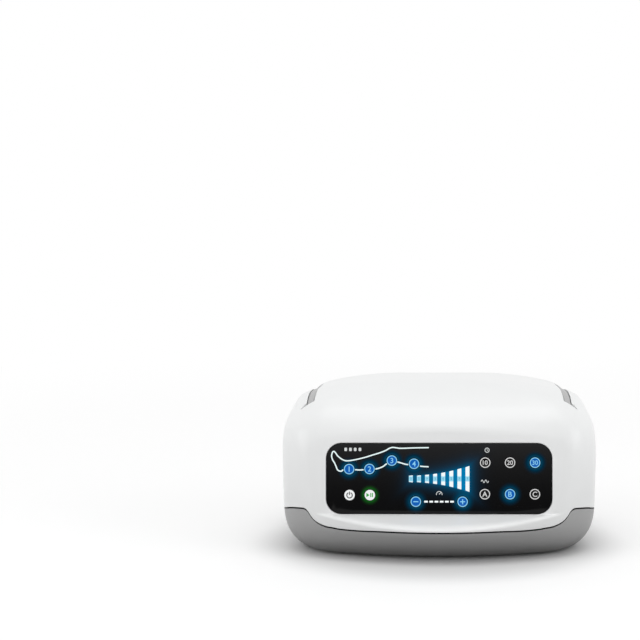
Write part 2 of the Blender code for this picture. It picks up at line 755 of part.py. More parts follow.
def guide_outline(margin):
    """Outline round all the bars, with a neck down round the dashes."""
    bars, dashes = bar_outlines(margin), dash_outlines(margin)
    low_left, low_right = bars[0][0], bars[-1][1]
    slope = (low_right[1] - low_left[1]) / (low_right[0] - low_left[0])
    neck = [(x, low_left[1] + (x - low_left[0]) * slope) for x in (dashes[0][0][0], dashes[-1][1][0])]
    return [low_left, neck[0], dashes[0][0], dashes[-1][1], neck[1], low_right, bars[-1][2], bars[0][3]]


def groove_outline(side, margin, notch):
    """Plan outline of a shoulder groove; the notch runs on outward from its front end."""
    half = GROOVE_WIDTH / 2 + margin
    front, back = GROOVE_FRONT_Y - margin, GROOVE_BACK_Y + margin
    rear_x = GROOVE_X - GROOVE_TOE_IN
    outline = [(GROOVE_X - half, front)]
    if notch:
        outline += [(GROOVE_X + half + GROOVE_NOTCH, front - GROOVE_NOTCH_FORWARD),
                    (GROOVE_X + half, front + GROOVE_NOTCH_BACK)]
    else:
        outline.append((GROOVE_X + half, front))
    outline += [(rear_x + half, back), (rear_x - half, back)]
    outline = [(side * x, y) for x, y in outline]
    return outline if side > 0 else outline[::-1]


def carrier_stake_places():
    """Places of the stakes that hold the panel carrier to the frame behind the window."""
    middle = (FRAME_WIDTH - REBATE_WIDTH) / 2
    x_side, y_side = PANEL_WIDTH / 2 + middle, PANEL_HEIGHT / 2 + middle
    x_spread = PANEL_WIDTH * STAKE_SPREAD_SHARE
    return [(-x_side, 0), (x_side, 0)] + [(x, y) for y in (-y_side, y_side) for x in (-x_spread, 0, x_spread)]


def key_board_stake_places():
    """Places of the standoffs and stakes that carry the key board, outside the dome sheet."""
    x_side = (KEY_BOARD_WIDTH - STANDOFF_DIAMETER) / 2
    y_side = (KEY_BOARD_HEIGHT - STANDOFF_DIAMETER) / 2
    return [(x, y) for x in (-x_side, x_side) for y in (-y_side, y_side)]


def corner_names(stem):
    """Names of a piece repeated at four corners, in the order of the corner places."""
    return [f"{stem}_{end}_{side}" for side in ("left", "right") for end in ("front", "back")]


def post_places():
    return [(x, y) for x in (-POST_X, POST_X) for y in (POST_FRONT_Y, POST_BACK_Y)]


def foot_places():
    return [(x, y) for x in (-FOOT_X, FOOT_X) for y in (FOOT_FRONT_Y, FOOT_BACK_Y)]


def board_post_places(centre, length, width):
    x, y = centre
    half_x, half_y = length / 2 - BOARD_POST_INSET, width / 2 - BOARD_POST_INSET
    return [(x + i * half_x, y + j * half_y) for i in (-1, 1) for j in (-1, 1)]


def floor_board_posts():
    """Places of the posts under both boards on the floor."""
    main = board_post_places((MAIN_BOARD_X, MAIN_BOARD_Y), MAIN_BOARD_LENGTH, MAIN_BOARD_WIDTH)
    return main + board_post_places((POWER_BOARD_X, POWER_BOARD_Y), POWER_BOARD_LENGTH, POWER_BOARD_WIDTH)


def disc(name, diameter, place, low, high, frame=Matrix(), segments=SMALL_SEGMENTS):
    return prism(name, circle(diameter, place, segments), low, high, frame)


def cover_ribs(core):
    """Frame behind the window and the four screw bosses, inside the cover's wall."""
    frame = panel_frame()
    outer = rounded_rectangle(PANEL_WIDTH + 2 * FRAME_WIDTH, PANEL_HEIGHT + 2 * FRAME_WIDTH,
                              PANEL_RADIUS + FRAME_WIDTH)
    pieces = [prism("frame", outer, FRAME_BACK, 0, frame)]
    pieces += [disc("boss", BOSS_DIAMETER, place, POST_TOP_Z + FIT_GAP, BODY_HEIGHT)
               for place in post_places()]
    ribs = combine(group("cover_rib_tool", pieces), core, "INTERSECT")
    low, high = CARRIER_BACK - STAKE_PROUD, FRAME_BACK + FRAME_DEPTH / 2
    stakes = [disc("stake", STAKE_DIAMETER, place, low, high, frame) for place in carrier_stake_places()]
    return combine(ribs, group("cover_stake_tool", stakes), "UNION")


def cover_cuts():
    """Window, rebate, screw bores and grooves of the cover."""
    frame = panel_frame()
    window = rounded_rectangle(PANEL_WIDTH + 2 * FIT_GAP, PANEL_HEIGHT + 2 * FIT_GAP, PANEL_RADIUS + FIT_GAP)
    inner = rounded_rectangle(PANEL_WIDTH - 2 * REBATE_WIDTH, PANEL_HEIGHT - 2 * REBATE_WIDTH,
                              PANEL_RADIUS - REBATE_WIDTH)
    window_tool = prism("window_tool", window, REBATE_Z, OVERRUN, frame)
    inner_tool = prism("opening_tool", inner, FRAME_BACK - OVERRUN, 0, frame)
    bores = [disc("bore", CASE_BORE_DIAMETER, place, 0, POST_TOP_Z + CASE_SCREW_REACH + BORE_EXTRA)
             for place in post_places()]
    grooves = [prism("groove", groove_outline(side, FIT_GAP, True), GROOVE_FLOOR_Z, BODY_HEIGHT)
               for side in (-1, 1)]
    return window_tool, inner_tool, group("cover_bore_tool", bores), group("groove_tool", grooves)


def make_cover(core, inner):
    cover = case_solid("top_cover", 0)
    combine(cover, inner, "DIFFERENCE")
    combine(cover, seam_cutter("below_seam_tool", SEAM_GAP / 2, -GRID_MARGIN), "DIFFERENCE")
    combine(cover, cover_ribs(core), "UNION")
    for tool in cover_cuts():
        combine(cover, tool, "DIFFERENCE")
    return finish(cover, WHITE, 0.3)


def base_ribs(core):
    """Posts, fan ribs, connector pads and valve supports of the base tray."""
    pieces = [disc("post", POST_DIAMETER, place, FLOOR_Z, POST_TOP_Z) for place in post_places()]
    pieces += [disc("board_post", BOARD_POST_DIAMETER, place, FLOOR_Z, MAIN_BOARD_Z - FIT_GAP)
               for place in floor_board_posts()]
    rib_offset = FIT_GAP + FAN_RIB / 2
    for y in (FAN_Y - rib_offset, FAN_Y + FAN_THICKNESS + rib_offset):
        pieces.append(block("fan_rib", (FAN_SIZE, FAN_RIB, FAN_RIB_HEIGHT), (FAN_X, y, FLOOR_Z)))
    pad_height = REAR_PAD_TOP_Z - REAR_PAD_BOTTOM_Z
    pad_depth = BODY_DEPTH / 2 - REAR_PAD_INNER_Y
    pad_y = REAR_PAD_INNER_Y + pad_depth / 2
    outlets_width = OUTLET_X[1] - OUTLET_X[0] + OUTLET_WIDTH + 2 * FLANGE_MARGIN
    for x, width in ((sum(OUTLET_X) / 2, outlets_width), (INLET_X, INLET_WIDTH + 2 * FLANGE_MARGIN)):
        pieces.append(block("pad", (width, pad_depth, pad_height), (x, pad_y, REAR_PAD_BOTTOM_Z)))
    height = REAR_Z - VALVE_BLOCK_HEIGHT / 2 - FIT_GAP - FLOOR_Z
    for sign in (-1, 1):
        x = VALVE_BLOCK_X + sign * VALVE_BLOCK_WIDTH * SUPPORT_SPREAD_SHARE
        pieces.append(block("support", (SUPPORT_RIB, VALVE_BLOCK_DEPTH, height), (x, VALVE_BLOCK_Y, FLOOR_Z)))
    ribs = combine(group("base_rib_tool", pieces), core, "INTERSECT")
    low, high = MAIN_BOARD_Z / 2, MAIN_BOARD_Z + BOARD_THICKNESS + STAKE_PROUD
    stakes = [disc("stake", STAKE_DIAMETER, place, low, high) for place in floor_board_posts()]
    return combine(ribs, group("base_stake_tool", stakes), "UNION")


def rear_openings():
    """Windows for the connectors and slots behind the fan, cut through the back wall."""
    tools = []
    connectors = [(x, OUTLET_WIDTH, OUTLET_HEIGHT) for x in OUTLET_X] + [(INLET_X, INLET_WIDTH, INLET_HEIGHT)]
    for x, width, height in connectors:
        outline = rectangle(width + 2 * FIT_GAP, height + 2 * FIT_GAP)
        tools.append(prism("window", outline, -OVERRUN, BODY_DEPTH / 2 - REAR_PAD_INNER_Y + OVERRUN,
                           rear_frame(x, REAR_PAD_INNER_Y, REAR_Z)))
    for x in spread(VENT_COUNT, VENT_PITCH):
        tools.append(prism("vent", rectangle(VENT_WIDTH, VENT_HEIGHT), FAN_Y + FAN_THICKNESS + OVERRUN / 2,
                           BODY_DEPTH / 2 + OVERRUN, rear_frame(FAN_X + x, 0, FAN_AXIS_Z)))
    return tools


def floor_openings():
    """Air intake slots, foot seats and counterbores, cut into the floor from below."""
    tools = []
    for x in spread(VENT_COUNT, VENT_PITCH):
        outline = rectangle(VENT_WIDTH, VENT_HEIGHT, (INTAKE_X + x, INTAKE_Y))
        tools.append(prism("intake", outline, FLOOR_Z - OVERRUN, FLOOR_TOP + OVERRUN))
    for place in foot_places():
        tools.append(disc("seat", FOOT_DIAMETER + 2 * FIT_GAP, place, FLOOR_Z - OVERRUN, FLOOR_Z + FOOT_SEAT,
                          segments=ROUND_SEGMENTS))
    for place in post_places():
        tools.append(disc("counterbore", CASE_COUNTERBORE_DIAMETER, place, FLOOR_Z - OVERRUN,
                          FLOOR_Z + CASE_COUNTERBORE_DEPTH))
    return tools


def base_cuts():
    """Screw holes and all other openings of the base tray."""
    bores = [disc("bore", CASE_BORE_DIAMETER, place, FLOOR_Z - OVERRUN, POST_TOP_Z + OVERRUN)
             for place in post_places()]
    return (group("base_bore_tool", bores), group("floor_opening_tool", floor_openings()),
            group("rear_opening_tool", rear_openings()))


def make_base(core, inner):
    base = case_solid("base_tray", 0)
    combine(base, inner, "DIFFERENCE")
    combine(base, seam_cutter("above_seam_tool", -SEAM_GAP / 2, BODY_HEIGHT + GRID_MARGIN), "DIFFERENCE")
    combine(base, base_ribs(core), "UNION")
    for tool in base_cuts():
        combine(base, tool, "DIFFERENCE")
    return finish(base, BASE_GREY, 0.4)


def make_panel():
    """Gloss black panel with its key holes and the slots for the light guides."""
    frame = panel_frame()
    outline = rounded_rectangle(PANEL_WIDTH, PANEL_HEIGHT, PANEL_RADIUS)
    panel = prism("control_panel", outline, PANEL_BACK, -PANEL_RECESS, frame)
    low = PANEL_BACK - OVERRUN
    holes = [disc("hole", KEY_DIAMETER + 2 * FIT_GAP, place, low, OVERRUN, frame, ROUND_SEGMENTS)
             for place in key_places().values()]
    holes += [prism("slot", outline, low, OVERRUN, frame)
              for outline in bar_outlines(FIT_GAP) + dash_outlines(FIT_GAP)]
    combine(panel, group("panel_hole_tool", holes), "DIFFERENCE")
    return finish(panel, BLACK, 0.08)


def make_keys():
    """Fourteen round keys, each in its own hole with a flange behind the panel."""
    frame = panel_frame()
    cap, flange, stem = KEY_DIAMETER / 2, KEY_FLANGE_DIAMETER / 2, KEY_STEM_DIAMETER / 2
    top = KEY_PROUD - PANEL_RECESS
    flange_back = REBATE_Z - KEY_FLANGE_THICKNESS
    profile = [(0, top), (cap - KEY_EDGE, top), (cap, top - KEY_EDGE), (cap, REBATE_Z), (flange, REBATE_Z),
               (flange, flange_back), (stem, flange_back), (stem, STEM_END), (0, STEM_END)]
    for name, (x, y) in key_places().items():
        key = turned(name, profile)
        key.matrix_world = frame @ Matrix.Translation((x, y, 0))
        colour = LIT_BLUE if name in LIT_KEYS else UNLIT
        if name == "key_power":
            colour = POWER_WHITE
        if name == "key_play_pause":
            colour = START_GREEN
        finish(key, colour, 0.2, glow=colour if colour is not UNLIT else None)


def make_light_guide():
    """Clear guide: a plate behind the panel and a rib up each slot, flush with the panel's face."""
    frame = panel_frame()
    guide = prism("light_guide", guide_outline(GUIDE_MARGIN), FRAME_BACK, REBATE_Z, frame)
    ribs = [prism("rib", outline, FRAME_BACK + FRAME_DEPTH / 2, -PANEL_RECESS, frame)
            for outline in bar_outlines(0) + dash_outlines(0)]
    combine(guide, group("guide_rib_tool", ribs), "UNION")
    return finish(guide, GUIDE_WHITE, 0.3, glow=GUIDE_WHITE)


def make_carrier():
    """Plate behind the frame that holds keys, light guides and key board."""
    frame = panel_frame()
    outline = rounded_rectangle(PANEL_WIDTH + 2 * FRAME_WIDTH, PANEL_HEIGHT + 2 * FRAME_WIDTH,
                                PANEL_RADIUS + FRAME_WIDTH)
    carrier = prism("panel_carrier", outline, CARRIER_BACK, CARRIER_FRONT, frame)
    combine(carrier, case_solid("carrier_space", WALL + FIT_GAP), "INTERSECT")
    standoffs = [disc("standoff", STANDOFF_DIAMETER, place, BOARD_FRONT + FIT_GAP, CARRIER_FRONT, frame)
                 for place in key_board_stake_places()]
    combine(carrier, group("standoff_tool", standoffs), "UNION")
    stakes = [disc("stake", STAKE_DIAMETER, place, BOARD_BACK - STAKE_PROUD, CARRIER_BACK, frame)
              for place in key_board_stake_places()]
    combine(carrier, group("carrier_stake_tool", stakes), "UNION")
    low, high = CARRIER_BACK - STAKE_PROUD, CARRIER_FRONT + OVERRUN
    holes = [disc("hole", KEY_STEM_DIAMETER + 2 * FIT_GAP, place, low, high, frame)
             for place in key_places().values()]
    holes += [disc("hole", STAKE_DIAMETER + 2 * FIT_GAP, place, low, high, frame)
              for place in carrier_stake_places()]
    holes.append(prism("light", guide_outline(-GUIDE_LEDGE), low, high, frame))
    combine(carrier, group("carrier_hole_tool", holes), "DIFFERENCE")
    return finish(carrier, DARK_PLASTIC, 0.5)


def make_key_board():
    """Key board on the carrier's standoffs, its sheet of switch domes and the remote control's receiver."""
    frame = panel_frame()
    board = prism("key_board", rectangle(KEY_BOARD_WIDTH, KEY_BOARD_HEIGHT), BOARD_BACK, BOARD_FRONT, frame)
    low, high = BOARD_BACK - OVERRUN, BOARD_FRONT + OVERRUN
    holes = [disc("hole", STAKE_DIAMETER + 2 * FIT_GAP, place, low, high, frame)
             for place in key_board_stake_places()]
    combine(board, group("key_board_hole_tool", holes), "DIFFERENCE")
    finish(board, GREEN_BOARD, 0.4)
    base = BOARD_FRONT + FIT_GAP
    edge = 2 * (STANDOFF_DIAMETER + FIT_GAP)
    outline = rectangle(KEY_BOARD_WIDTH - edge, KEY_BOARD_HEIGHT - edge / 2)
    sheet = prism("key_dome_sheet", outline, base, base + DOME_SHEET_THICKNESS, frame)
    domes = [block("dome", (SWITCH_SIZE, SWITCH_SIZE, SWITCH_HEIGHT - DOME_SHEET_THICKNESS / 2),
                   (*place, base + DOME_SHEET_THICKNESS / 2), frame) for place in key_places().values()]
    combine(sheet, group("dome_tool", domes), "UNION")
    size = (RECEIVER_WIDTH + 2 * FIT_GAP, RECEIVER_DEPTH + 2 * FIT_GAP, OVERRUN)
    combine(sheet, block("receiver_window_tool", size, (RECEIVER_X, 0, BOARD_FRONT), frame), "DIFFERENCE")
    finish(sheet, STEEL, 0.35, 0.8)
    size = (RECEIVER_WIDTH, RECEIVER_DEPTH, RECEIVER_HEIGHT)
    finish(block("remote_receiver", size, (RECEIVER_X, 0, base), frame), DARK_PLASTIC, 0.2)


def make_groove_liner(name, side, skin):
    """Grey strip in a shoulder groove, its top just below the cover's surface."""
    liner = prism(name, groove_outline(side, 0, False), GROOVE_FLOOR_Z + FIT_GAP, BODY_HEIGHT)
    return finish(combine(liner, skin, "INTERSECT"), GROOVE_GREY, 0.5)


def make_feet():
    radius, top = FOOT_DIAMETER / 2, FLOOR_Z + FOOT_SEAT - FIT_GAP
    profile = [(0, 0), (radius - FOOT_CHAMFER, 0), (radius, FOOT_CHAMFER), (radius, top), (0, top)]
    for name, place in zip(corner_names("foot"), foot_places()):
        finish(turned(name, profile, Matrix.Translation((*place, 0))), RUBBER, 0.8)


def make_case_screws():
    head, shank = CASE_HEAD_DIAMETER / 2, CASE_SHANK_DIAMETER / 2
    seat = FLOOR_Z + CASE_COUNTERBORE_DEPTH - FIT_GAP
    low, top = seat - CASE_HEAD_HEIGHT, POST_TOP_Z + CASE_SCREW_REACH
    profile = [(0, low), (head - CASE_HEAD_CHAMFER, low), (head, low + CASE_HEAD_CHAMFER), (head, seat),
               (shank, seat), (shank, top), (0, top)]
    for name, place in zip(corner_names("case_screw"), post_places()):
        finish(turned(name, profile, Matrix.Translation((*place, 0)), SMALL_SEGMENTS), STEEL, 0.3, 1.0)


def flanged_body(name, x, width, height, back_y):
    """Connector body through a rear window, with its flange against the pad inside."""
    frame = rear_frame(x, 0, REAR_Z)
    body = prism(name, rectangle(width, height), back_y, OUTLET_FACE_Y, frame)
    flange = prism(name + "_flange_tool", rectangle(width + 2 * FLANGE_MARGIN, height + 2 * FLANGE_MARGIN),
                   FLANGE_FRONT_Y, FLANGE_FRONT_Y + FLANGE_THICKNESS, frame)
    return combine(body, flange, "UNION"), frame


def make_outlets():
    """Two four-way air sockets at the back."""
    for name, x in zip(("air_outlet_left", "air_outlet_right"), OUTLET_X):
        body, frame = flanged_body(name, x, OUTLET_WIDTH, OUTLET_HEIGHT, FLANGE_FRONT_Y)
        outline = rounded_rectangle(OUTLET_CAVITY_WIDTH, OUTLET_CAVITY_HEIGHT, OUTLET_CAVITY_RADIUS)
        cavity = prism(name + "_cavity_tool", outline, OUTLET_FACE_Y - OUTLET_CAVITY_DEPTH,
                       OUTLET_FACE_Y + OVERRUN, frame)
        combine(body, cavity, "DIFFERENCE")
        low = FLANGE_FRONT_Y - OVERRUN
        lumens = [disc("lumen", OUTLET_LUMEN_DIAMETER, (place, 0), low, OUTLET_FACE_Y, frame)
                  for place in spread(OUTLET_LUMEN_COUNT, OUTLET_LUMEN_PITCH)]
        combine(body, group(name + "_lumen_tool", lumens), "DIFFERENCE")
        finish(body, DARK_PLASTIC, 0.35)


def make_inlet():
    """Two-pin mains inlet at the back, and its pins."""
    back_y = OUTLET_FACE_Y - INLET_BODY_DEPTH
    body, frame = flanged_body("mains_inlet", INLET_X, INLET_WIDTH, INLET_HEIGHT, back_y)
    outline = rounded_rectangle(INLET_CAVITY_WIDTH, INLET_CAVITY_HEIGHT, INLET_CAVITY_RADIUS)
    cavity = prism("inlet_cavity_tool", outline, OUTLET_FACE_Y - INLET_CAVITY_DEPTH,
                   OUTLET_FACE_Y + OVERRUN, frame)
    combine(body, cavity, "DIFFERENCE")
    places = [(x, 0) for x in spread(2, INLET_PIN_PITCH)]
    bores = [disc("bore", INLET_PIN_DIAMETER + 2 * FIT_GAP, place, back_y - OVERRUN, OUTLET_FACE_Y, frame)
             for place in places]
    combine(body, group("inlet_bore_tool", bores), "DIFFERENCE")
    finish(body, DARK_PLASTIC, 0.35)
    for name, place in zip(("inlet_pin_right", "inlet_pin_left"), places):
        pin = disc(name, INLET_PIN_DIAMETER, place, back_y - OVERRUN, OUTLET_FACE_Y - INLET_PIN_SHORT, frame)
        finish(pin, BRASS, 0.3, 1.0)


def make_fan():
    """Square fan frame with spokes and an axle, and the bladed rotor that turns on it."""
    frame = rear_frame(FAN_X, FAN_Y, FAN_AXIS_Z)
    body = prism("fan_frame", rounded_rectangle(FAN_SIZE, FAN_SIZE, FAN_SPOKE_WIDTH), 0, FAN_THICKNESS, frame)
    bore = disc("fan_bore_tool", FAN_BORE, (0, 0), FAN_BACKPLATE, FAN_THICKNESS + OVERRUN, frame,
                ROUND_SEGMENTS)
    combine(body, bore, "DIFFERENCE")
    inner, outer = FAN_HUB_DIAMETER / 2, FAN_BORE / 2
    gap = math.degrees(FAN_SPOKE_WIDTH / outer)
    windows = []
    for start in range(0, 360, 90):
        outline = arc((0, 0), outer - FAN_RIB / 2, start + gap, start + 90 - gap, CORNER_SEGMENTS)
        outline += arc((0, 0), inner, start + 90 - 2 * gap, start + 2 * gap, CORNER_SEGMENTS)
        windows.append(prism("window", outline, -OVERRUN, FAN_BACKPLATE + OVERRUN, frame))
    combine(body, group("fan_window_tool", windows), "DIFFERENCE")
    axle = disc("fan_axle_tool", FAN_AXLE_DIAMETER, (0, 0), FAN_BACKPLATE / 2, FAN_HUB_THICKNESS, frame)
    combine(body, axle, "UNION")
    finish(body, DARK_PLASTIC, 0.45)
    low, high = FAN_BACKPLATE + FIT_GAP, FAN_BACKPLATE + FIT_GAP + FAN_HUB_THICKNESS
    bore = FAN_AXLE_DIAMETER / 2 + FIT_GAP
    roof = high - FAN_RIB
    profile = [(0, roof), (bore, roof), (bore, low), (inner, low), (inner, high), (0, high)]
    rotor = turned("fan_rotor", profile, segments=ROUND_SEGMENTS)
    blades = []
    for index in range(FAN_BLADES):
        turn = Matrix.Rotation(2 * math.pi * index / FAN_BLADES, 4, "Z")
        lean = turn @ Matrix.Translation((0, 0, (low + high) / 2)) @ Matrix.Rotation(FAN_BLADE_LEAN, 4, "X")
        length = outer - FAN_TIP_GAP - inner + FAN_RIB
        outline = rectangle(length, FAN_BLADE_WIDTH, (inner - FAN_RIB + length / 2, 0))
        blades.append(prism("blade", outline, -FAN_BLADE_THICKNESS / 2, FAN_BLADE_THICKNESS / 2, lean))
    tool = group("fan_blade_tool", blades)
    rotor.matrix_world = frame
    tool.matrix_world = frame
    combine(rotor, tool, "UNION")
    finish(rotor, DARK_PLASTIC, 0.45)


def nipple(name, place, diameter, length, frame):
    """Short pipe stub that runs along a frame's z from just inside its face."""
    return prism(name, circle(diameter, place, SMALL_SEGMENTS), -length / 2, length, frame)


def make_valves():
    """Valve block with a hose stub each for pump and sensor, its coils and their plungers."""
    y, low = VALVE_BLOCK_Y, REAR_Z - VALVE_BLOCK_HEIGHT / 2
    valve_block = block("valve_block", (VALVE_BLOCK_WIDTH, VALVE_BLOCK_DEPTH, VALVE_BLOCK_HEIGHT),
                        (VALVE_BLOCK_X, y, low))
    forward = Matrix.Translation((0, y - VALVE_BLOCK_DEPTH / 2, REAR_Z))
    forward = forward @ Matrix.Rotation(math.pi / 2, 4, "X")
    stubs = [nipple("stub", (HEAD_X, 0), HEAD_PORT_DIAMETER, HEAD_PORT_LENGTH, forward),
             nipple("stub", (SENSOR_STUB_X, 0), SENSOR_PORT_DIAMETER, SENSOR_PORT_LENGTH, forward)]
    combine(valve_block, group("valve_stub_tool", stubs), "UNION")
    finish(valve_block, CREAM, 0.5)
    coil_low = low + VALVE_BLOCK_HEIGHT + FIT_GAP
    coil_high = coil_low + COIL_HEIGHT
    places = [(VALVE_BLOCK_X + x, y) for x in spread(VALVE_COUNT, COIL_PITCH)]
    size = (VALVE_COUNT * COIL_PITCH, COIL_DIAMETER, YOKE_THICKNESS)
    bank = block("solenoid_bank", size, (VALVE_BLOCK_X, y, coil_low))
    coils = [disc("coil", COIL_DIAMETER, place, coil_low + YOKE_THICKNESS / 2, coil_high,
                  segments=ROUND_SEGMENTS) for place in places]
    combine(bank, group("coil_tool", coils), "UNION")
    bores = [disc("bore", COIL_BORE, place, coil_low - OVERRUN, coil_high + OVERRUN) for place in places]
    combine(bank, group("coil_bore_tool", bores), "DIFFERENCE")
    finish(bank, COPPER, 0.4)
    stem, head, seat = PLUNGER_DIAMETER / 2, PLUNGER_HEAD_DIAMETER / 2, FIT_GAP
    profile = [(0, seat - PLUNGER_LENGTH), (stem, seat - PLUNGER_LENGTH), (stem, seat), (head, seat),
               (head, seat + PLUNGER_HEAD_HEIGHT), (0, seat + PLUNGER_HEAD_HEIGHT)]
    for index, place in enumerate(places):
        plunger = turned(f"valve_plunger_{index + 1}", profile, segments=SMALL_SEGMENTS)
        plunger.location = (*place, coil_high)
        finish(plunger, STEEL, 0.3, 1.0)


def make_pump():
    """Rubber cradle, pump head, motor can and the shaft with its eccentric."""
    cradle = block("pump_cradle", (CRADLE_LENGTH, CRADLE_WIDTH, CRADLE_THICKNESS + CRADLE_LIP_HEIGHT),
                   (PUMP_X, PUMP_Y, FLOOR_TOP + FIT_GAP))
    tray = block("cradle_tray_tool", (CRADLE_LENGTH - 2 * CRADLE_LIP, CRADLE_WIDTH - 2 * CRADLE_LIP,
                 CRADLE_LIP_HEIGHT + OVERRUN), (PUMP_X, PUMP_Y, CRADLE_TOP))
    combine(cradle, tray, "DIFFERENCE")
    finish(cradle, RUBBER, 0.85)
    head = block("pump_head", (HEAD_LENGTH, HEAD_WIDTH, HEAD_HEIGHT), (HEAD_X, PUMP_Y, HEAD_BASE_Z))
    back = Matrix.Translation((HEAD_X, PUMP_Y + HEAD_WIDTH / 2, HEAD_BASE_Z + HEAD_HEIGHT - HEAD_PORT_DROP))
    port = nipple("head_port_tool", (0, 0), HEAD_PORT_DIAMETER, HEAD_PORT_LENGTH,
                  back @ Matrix.Rotation(-math.pi / 2, 4, "X"))
    combine(head, port, "UNION")
    axis = Matrix.Translation((HEAD_X + HEAD_LENGTH / 2, PUMP_Y, MOTOR_AXIS_Z))
    axis = axis @ Matrix.Rotation(math.pi / 2, 4, "Y")
    chamber = disc("head_chamber_tool", MOTOR_DIAMETER - 2 * HEAD_WALL, (0, 0), -HEAD_CHAMBER_LENGTH,
                   OVERRUN, axis, ROUND_SEGMENTS)
    combine(head, chamber, "DIFFERENCE")
    finish(head, PUMP_GREY, 0.5)
    make_motor(axis)


def make_motor(axis):
    bore, outer, inner = SHAFT_BORE / 2, MOTOR_DIAMETER / 2, MOTOR_DIAMETER / 2 - MOTOR_WALL
    near, far = FIT_GAP, FIT_GAP + MOTOR_LENGTH
    profile = [(bore, near), (outer, near), (outer, far), (bore, far), (bore, far - MOTOR_WALL),
               (inner, far - MOTOR_WALL), (inner, near + MOTOR_WALL), (bore, near + MOTOR_WALL), (bore, near)]
    finish(turned("motor_can", profile, axis), STEEL, 0.35, 1.0)
    shaft, armature = SHAFT_DIAMETER / 2, ARMATURE_DIAMETER / 2
    start, end = [(near + far + sign * ARMATURE_LENGTH) / 2 for sign in (-1, 1)]
    tip = -HEAD_CHAMBER_LENGTH / 2
    profile = [(0, tip), (shaft, tip), (shaft, start), (armature, start), (armature, end), (shaft, end),
               (shaft, far), (0, far)]
    rotor = turned("motor_shaft", profile, segments=SMALL_SEGMENTS)
    cam = disc("eccentric_tool", ECCENTRIC_DIAMETER, (0, ECCENTRIC_OFFSET), tip + FIT_GAP,
               tip + FIT_GAP + ECCENTRIC_THICKNESS, segments=ROUND_SEGMENTS)
    rotor.matrix_world = axis
    cam.matrix_world = axis
    combine(rotor, cam, "UNION")
    finish(rotor, STEEL, 0.3, 1.0)


def make_boards():
    """Main board and power board on the floor's posts, with what is soldered to them."""
    plates = (("main_board", MAIN_BOARD_X, MAIN_BOARD_Y, MAIN_BOARD_LENGTH, MAIN_BOARD_WIDTH),
              ("power_board", POWER_BOARD_X, POWER_BOARD_Y, POWER_BOARD_LENGTH, POWER_BOARD_WIDTH))
    for name, x, y, length, width in plates:
        board = block(name, (length, width, BOARD_THICKNESS), (x, y, MAIN_BOARD_Z))
        low, high = MAIN_BOARD_Z - OVERRUN, MAIN_BOARD_Z + OVERRUN
        holes = [disc("hole", STAKE_DIAMETER + 2 * FIT_GAP, place, low, high)
                 for place in board_post_places((x, y), length, width)]
        combine(board, group(name + "_hole_tool", holes), "DIFFERENCE")
        finish(board, GREEN_BOARD, 0.4)
    make_sensor()
    make_power_parts()


def sensor_place():
    """Middle of the pressure sensor's rear face on the main board."""
    x = (PUMP_X + CRADLE_LENGTH / 2 + POWER_BOARD_X - POWER_BOARD_LENGTH / 2) / 2
    return x, MAIN_BOARD_Y + MAIN_BOARD_WIDTH / 2 - BOARD_POST_INSET + FIT_GAP


def make_sensor():
    x, rear = sensor_place()
    sensor = block("pressure_sensor", (SENSOR_SIZE, SENSOR_SIZE, SENSOR_HEIGHT),
                   (x, rear - SENSOR_SIZE / 2, BOARD_TOP_Z))
    facing = Matrix.Translation((x, rear, BOARD_TOP_Z + SENSOR_HEIGHT / 2))
    facing = facing @ Matrix.Rotation(-math.pi / 2, 4, "X")
    port = nipple("sensor_port_tool", (0, 0), SENSOR_PORT_DIAMETER, SENSOR_PORT_LENGTH, facing)
    combine(sensor, port, "UNION")
    finish(sensor, DARK_PLASTIC, 0.4)


def make_power_parts():
    size = (TRANSFORMER_LENGTH, TRANSFORMER_WIDTH, TRANSFORMER_HEIGHT)
    finish(block("transformer", size, (POWER_BOARD_X, POWER_BOARD_Y, BOARD_TOP_Z)), BRASS, 0.5)
    radius = CAPACITOR_DIAMETER / 2
    profile = [(0, 0), (radius, 0), (radius, CAPACITOR_HEIGHT), (0, CAPACITOR_HEIGHT)]
    x = POWER_BOARD_X + POWER_BOARD_LENGTH / 2 - BOARD_POST_INSET - radius
    capacitor = turned("capacitor", profile, Matrix.Translation((x, POWER_BOARD_Y, BOARD_TOP_Z)))
    finish(capacitor, DARK_PLASTIC, 0.3)


def make_hoses():
    """Silicone hoses from the pump and to the pressure sensor, butted on their stubs."""
    z_high = HEAD_BASE_Z + HEAD_HEIGHT - HEAD_PORT_DROP
    start_y = PUMP_Y + HEAD_WIDTH / 2 + HEAD_PORT_LENGTH + FIT_GAP
    stub_y = VALVE_BLOCK_Y - VALVE_BLOCK_DEPTH / 2 - FIT_GAP
    end_y = stub_y - HEAD_PORT_LENGTH
    middle_y = (start_y + end_y) / 2
    route = [(HEAD_X, start_y, z_high), (HEAD_X, middle_y, z_high), (HEAD_X, middle_y, REAR_Z),
             (HEAD_X, end_y, REAR_Z)]
    finish(tube("pump_hose", bent(route, HOSE_DIAMETER), HOSE_DIAMETER), CLEAR_SILICONE, 0.3)
    sensor_x, rear = sensor_place()
    sensor_z = BOARD_TOP_Z + SENSOR_HEIGHT / 2
    route = [(SENSOR_STUB_X, stub_y - SENSOR_PORT_LENGTH, REAR_Z),
             (SENSOR_STUB_X, PUMP_Y + CRADLE_WIDTH / 2, REAR_Z), (sensor_x, PUMP_Y, sensor_z),
             (sensor_x, rear + SENSOR_PORT_LENGTH + FIT_GAP, sensor_z)]
    finish(tube("sensor_hose", bent(route, SENSOR_HOSE_DIAMETER), SENSOR_HOSE_DIAMETER), CLEAR_SILICONE, 0.3)


def make_lead(name, colour, route):
    finish(tube(name, bent(route, LEAD_DIAMETER), LEAD_DIAMETER), colour, 0.5)


